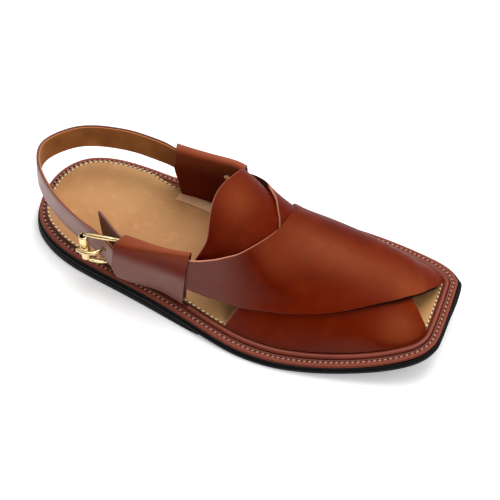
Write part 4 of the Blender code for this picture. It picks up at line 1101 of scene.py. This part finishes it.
def strap_face(depth, d0=0.0, d1=0.0):
    """Grid over the strap at a depth behind its outer face, with its edges taken in."""
    dd = d0 + drop * (STRAP_W - d0 - d1) / STRAP_W
    out = []
    for i, (p, q) in enumerate(zip(P, inw)):
        side_ = 1 if i < half else -1
        w_ = float(smoothstep(68, 80, p[0]))
        y = np.full(len(dd), p[1])
        z = p[2] - dd
        if w_ > 0 and side_ > 0:
            wo, _ = spread(EAR_MEDIAL, p[0])
            off = 6.3 + wo * .5
            y0 = in_ear(p[0], side_, off, 50)
            y = y + w_ * np.array([in_ear(p[0], side_, off, zz) - y0 for zz in z])
        dep = depth(dd) if callable(depth) else np.full(len(dd), depth)
        out.append(np.stack([p[0] + q[0] * dep, y + q[1] * dep, z], -1))
    return np.array(out)


groove = lambda d: (.34 * np.exp(-((d - 1.95) / .34) ** 2) + .22 * np.exp(-((d - 17.55) / .3) ** 2)
                    - .18 * np.sin(np.pi * np.clip(d / STRAP_W, 0, 1)) ** .7 + .12)
face_out = strap_face(groove)
# the mask paints a greyish mauve painted reflection on the strap's outer face, full where y is below 8 mm and gone by
# 36 mm
shell("strap_outer_leather", face_out, strap_face(1.3), [STRAP_M], bulge=.4, gains=(1, 1, 1, 1),
      bloom=lambda v, n: smoothstep(36, 8, v[:, 1]), cad=("heel_strap",), slot="upper_leather")
shell("strap_lining", strap_face(1.42, .3, .15), strap_face(2.4, .3, .15), [LINING], bulge=.35, gains=(.6, .3, 0, 0), cad=("heel_strap",), slot="upper_leather")


def strap_row(name, d, L, W, H, pitch, mat, depth):
    S_ = np.array([np.array([np.interp(d, drop, face_out[i, :, j]) for j in range(3)]) for i in range(len(P))])
    keep = [i for i in range(len(P)) if (i < half and P[i, 0] < 82) or (i >= half and P[i, 0] < 72)]
    C = S_[keep]
    ln = np.concatenate([[0], np.cumsum(np.linalg.norm(np.diff(C, axis=0), axis=1))])
    uu = np.arange(pitch, ln[-1] - pitch, pitch)
    at = lambda q: np.stack([np.interp(q, ln, C[:, j]) for j in range(3)], -1)
    c = at(uu)
    T = at(uu + .5) - at(uu - .5)
    T /= np.linalg.norm(T, axis=1, keepdims=True)
    outw = np.cross(T, np.broadcast_to((0, 0, 1.0), T.shape))
    outw /= np.linalg.norm(outw, axis=1, keepdims=True)
    near = np.mean(np.sum((c - np.array([25, 8, 40])) * outw, 1)) < 0
    if near:
        outw = -outw
    up = np.cross(outw, T)
    return beads(name, c + outw * depth, T, up, outw, L, W, H, mat, rings=6, sides=6, slot="upper_leather")


strap_row("strap_stitches_top", 1.95, 1.9, .5, .5, 2.6, BROWN_THREAD, -.02)
strap_row("strap_stitches_bottom", 17.55, 1.9, .5, .5, 2.6, BROWN_THREAD, -.02)


# ======================================================================== buckle
def rounded(points, r, n=10):
    Q = [np.asarray(p, float) for p in points]
    out = []
    for i, p in enumerate(Q):
        a, b = Q[i - 1] - p, Q[(i + 1) % len(Q)] - p
        a /= np.linalg.norm(a)
        b /= np.linalg.norm(b)
        for k in np.linspace(0, 1, n):
            out.append((1 - k) ** 2 * (p + a * r) + 2 * k * (1 - k) * p + k * k * (p + b * r))
    return out


ax = (ROLLER_TOP - ROLLER_END) / np.linalg.norm(ROLLER_TOP - ROLLER_END)
bar = np.array([.9, 0, 0])
frame_pts = [ROLLER_TOP + bar + ax * 1.6, (76.8, -37.1, 48.4), (76.8, -37.1, 19.2), (66.5, -35.0, 19.2),
             (62.0, -38.6, 19.9), ROLLER_END + bar - ax * 1.9]
wire = np.array(rounded(frame_pts, 2.6))
gap_ = np.linalg.norm(np.roll(wire, -1, 0) - wire, axis=1)
dense = []
for p, q, g_ in zip(wire, np.roll(wire, -1, 0), gap_):
    k = max(1, int(g_ / 1.2))
    dense += [p + (q - p) * j / k for j in range(k)]
dense = np.array(dense)
wire_r = 1.5 - .38 * (1 - smoothstep(53.5, 56.5, dense[:, 0])) - .3 * smoothstep(66, 70, dense[:, 0])
tube("buckle_wire_frame", dense, wire_r, [BRASS], (0.05, 1.0, 0.0), 18, True, cad=("buckle_frame",), slot="brass")

Lr = np.linalg.norm(ROLLER_TOP - ROLLER_END)
e1 = np.cross(ax, (0, 1, 0))
e1 /= np.linalg.norm(e1)
e2 = np.cross(ax, e1)
prf = [(2.3, .3), (2.36, .06), (2.5, -.05), (2.85, -.02), (3.12, .14), (3.27, .4), (3.3, .9), (3.3, 3.0), (3.3, Lr / 2),
       (3.3, Lr - 3.0), (3.3, Lr - .9), (3.27, Lr - .4), (3.12, Lr - .14), (2.85, Lr + .02), (2.5, Lr + .05), (2.36, Lr - .06),
       (2.3, Lr - .3), (2.3, Lr / 2)]
ns = 48
V = np.array([[ROLLER_END + ax * h + (e1 * math.cos(2 * math.pi * k / ns) + e2 * math.sin(2 * math.pi * k / ns)) * r
               for r, h in prf] for k in range(ns)])
m_ = len(prf)
Fr = [(k * m_ + j, k * m_ + (j + 1) % m_, ((k + 1) % ns) * m_ + (j + 1) % m_, ((k + 1) % ns) * m_ + j)
      for k in range(ns) for j in range(m_)]
piece("buckle_roller_tube", V.reshape(-1, 3), Fr, [BRASS], smooth=40, cad=("buckle_roller",), slot="brass")

pr = open_spline(PRONG, 60)
taper = np.interp(np.linspace(0, 1, 60), [0, .1, .7, .93, .98, 1], [1.2, 1.25, 1.3, 1.35, 1.1, .5])
tube("buckle_prong_pin", pr, taper, [BRASS], (0, 0, 1.0), 16, False, cad=("buckle_prong",), slot="brass")

# dark disc of painted shade for the hole in the strap round the prong
k0 = np.array(PRONG[2]) * .45 + np.array(PRONG[3]) * .55
i0_ = int(np.argmin(np.hypot(P[half:, 0] - k0[0], P[half:, 1] - k0[1]))) + half
hole_c = np.array([[P[i0_, 0], P[i0_, 1], k0[2] - .1]])
tt = np.array([[tan2[i0_, 0], tan2[i0_, 1], 0]])
oo = np.array([[-inw[i0_, 0], -inw[i0_, 1], 0]])
beads("strap_prong_hole_shade", hole_c + oo * .02, tt, np.array([[0, 0, 1.0]]), oo, 3.6, 3.0, .5, HOLE_SHADE, power=2.0, rings=12, sides=20,
      slot="upper_leather")

# leather guard behind the buckle, its brown coloured greyish mauve as painted reflection and shade
gd = open_spline(GUARD, 60)
tg = np.gradient(gd[:, :2], axis=0)
tg /= np.linalg.norm(tg, axis=1, keepdims=True)
ng = np.stack([tg[:, 1], -tg[:, 0]], -1)
hh = fine(18, 19, (.25, .7, 1.4))[None, :]
run = np.linspace(0, 1, 60)[:, None] * (1 - .16 * hh)


def gface(d):
    """Face of the guard at a depth; its rear end leans forward towards the bottom."""
    at = lambda col: np.interp(run, np.linspace(0, 1, 60), col)
    return np.stack([at(gd[:, 0] + ng[:, 0] * d), at(gd[:, 1] + ng[:, 1] * d), at(gd[:, 2]) * (1 - hh) + at(gd[:, 3]) * hh], -1)


shell("guard_leather", gface(-.85), gface(.85), [GUARD_M, GUARD_M], bulge=.4, gains=(1, 0, 1, 1), cad=("buckle_guard",), slot="upper_leather")


# ======================================================================== rivets
def rivet(name, t_, s_, off, cad):
    n, _ = axes(t_, s_)
    n = -n
    base = skin(t_, s_, off)
    a1 = np.cross(n, (0, 0, 1.0))
    a1 /= np.linalg.norm(a1)
    a2 = np.cross(n, a1)
    pf = [(2.75, -.3), (2.8, 0.0), (2.78, .22), (2.6, .42), (2.25, .62), (1.75, .8), (1.15, .93), (.5, 1.0), (.02, 1.02)]
    V_ = [base + n * h + (a1 * math.cos(q) + a2 * math.sin(q)) * r for r, h in pf
          for q in np.linspace(0, 2 * math.pi, 36, endpoint=False)]
    F_ = [(i * 36 + k, i * 36 + (k + 1) % 36, (i + 1) * 36 + (k + 1) % 36, (i + 1) * 36 + k)
          for i in range(len(pf) - 1) for k in range(36)]
    F_ += [tuple(range(35, -1, -1)), tuple((len(pf) - 1) * 36 + k for k in range(36))]
    return piece(name, V_, F_, [BRASS], smooth=60, cad=(cad,), slot="brass")


rivet("rivet_head_medial", 119.5, .715, -.1, "rivet_medial")
rivet("rivet_head_lateral_upper", 109.0, -.83, .15, "rivet_lateral_upper")
rivet("rivet_head_lateral_lower", 109.5, -.90, .4, "rivet_lateral_lower")

# every carried-over CAD node gets a proper finish too, though all are stood for
FINISH = {"outsole": RUBBER, "heel_lift": RUBBER, "midsole": WELT, "piping": PIPE, "insole": INSOLE,
          "buckle_frame": BRASS, "buckle_roller": BRASS, "buckle_prong": BRASS, "rivet_medial": BRASS,
          "rivet_lateral_upper": BRASS, "rivet_lateral_lower": BRASS}
for name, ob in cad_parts.items():
    mat = FINISH.get(name, UPPER)
    for sl in ob.material_slots:
        sl.material = mat


# ================================================================ floor and light
def floor_material():
    g = Graph("pale_floor_matt")
    n = g.noise(3, 2, .5)
    c = g.mix(g.span(n, .3, .7), (.90, .90, .90, 1), (.93, .93, .93, 1))
    return g.set(Base_Color=c, Roughness=.9, Specular_IOR_Level=.1, Emission_Color=(1, 1, 1, 1), Emission_Strength=.26)


me = bpy.data.meshes.new("floor")
S = 3.0
me.from_pydata([(-S, -S, -.0002), (S, -S, -.0002), (S, S, -.0002), (-S, S, -.0002)], [], [(0, 1, 2, 3)])
me.materials.append(floor_material())
floor = bpy.data.objects.new("floor", me)
bpy.context.scene.collection.objects.link(floor)


def area(name, at, to, size, power, colour=(1, 1, 1)):
    li = bpy.data.lights.new(name, 'AREA')
    li.shape = 'RECTANGLE'
    li.size, li.size_y = size
    li.energy = power
    li.color = colour
    ob = bpy.data.objects.new(name, li)
    ob.location = at
    ob.rotation_euler = (Vector(to) - Vector(at)).to_track_quat('-Z', 'Y').to_euler()
    bpy.context.scene.collection.objects.link(ob)
    return ob


area("key_softbox", (.02, .50, 1.34), (0, 0, .02), (.9, .9), 12.5)
area("front_soft", (.85, -.72, .95), (.08, 0, .02), (.5, .5), 3.8)


def studio_light():
    """One broad soft source over the far side, a pale horizon, and a dim room elsewhere."""
    world = bpy.data.worlds.new("studio")
    bpy.context.scene.world = world
    world.use_nodes = True
    nt = world.node_tree
    bg = nt.nodes["Background"]
    way = nt.nodes.new("ShaderNodeTexCoord").outputs["Generated"]

    def lobe(direction, a, b, gain):
        dot = nt.nodes.new("ShaderNodeVectorMath")
        dot.operation = 'DOT_PRODUCT'
        nt.links.new(way, dot.inputs[0])
        dot.inputs[1].default_value = direction
        return span(dot.outputs["Value"], a, b, 0.0, gain)

    def span(value, a, b, lo, hi):
        m = nt.nodes.new("ShaderNodeMapRange")
        m.interpolation_type = 'SMOOTHSTEP'
        nt.links.new(value, m.inputs["Value"])
        for k, v in (("From Min", a), ("From Max", b), ("To Min", lo), ("To Max", hi)):
            m.inputs[k].default_value = v
        return m.outputs["Result"]

    def add(a, b):
        m = nt.nodes.new("ShaderNodeMath")
        m.operation = 'ADD'
        nt.links.new(a, m.inputs[0])
        if hasattr(b, "links"):
            nt.links.new(b, m.inputs[1])
        else:
            m.inputs[1].default_value = b
        return m.outputs[0]

    top = lobe((.05, .38, .924), .35, .95, 1.15)
    sep = nt.nodes.new("ShaderNodeSeparateXYZ")
    nt.links.new(way, sep.inputs[0])
    ab = nt.nodes.new("ShaderNodeMath")
    ab.operation = 'ABSOLUTE'
    nt.links.new(sep.outputs["Z"], ab.inputs[0])
    horizon = span(ab.outputs[0], .08, .28, .85, 0.0)
    total = add(add(top, horizon), .06)
    nt.links.new(total, bg.inputs["Strength"])
    bg.inputs["Color"].default_value = (1, 1, 1, 1)


studio_light()
bpy.context.scene.view_settings.view_transform = 'Standard'
bpy.context.scene.view_settings.look = 'None'
bpy.context.scene.view_settings.exposure = 0.0

# ======================================================================== camera
cam = bpy.data.cameras.new("photo_camera")
cam.sensor_width = 36.0
cam.lens = 1576.8 / 500.0 * 36.0
cam.clip_start, cam.clip_end = .05, 20
camera = bpy.data.objects.new("photo_camera", cam)
bpy.context.scene.collection.objects.link(camera)
fwd = Vector((-0.15322515, 0.57515110, -0.80356908))
right = Vector((0.93798553, 0.34054736, 0.06488951))
up_ = Vector((-0.31097460, 0.74379346, 0.59166383))
camera.matrix_world = Matrix.Translation(metres(np.array([310.91537, -598.84159, 867.86411]))) @ Matrix(
    (right, up_, -fwd)).transposed().to_4x4()
bpy.context.scene.camera = camera
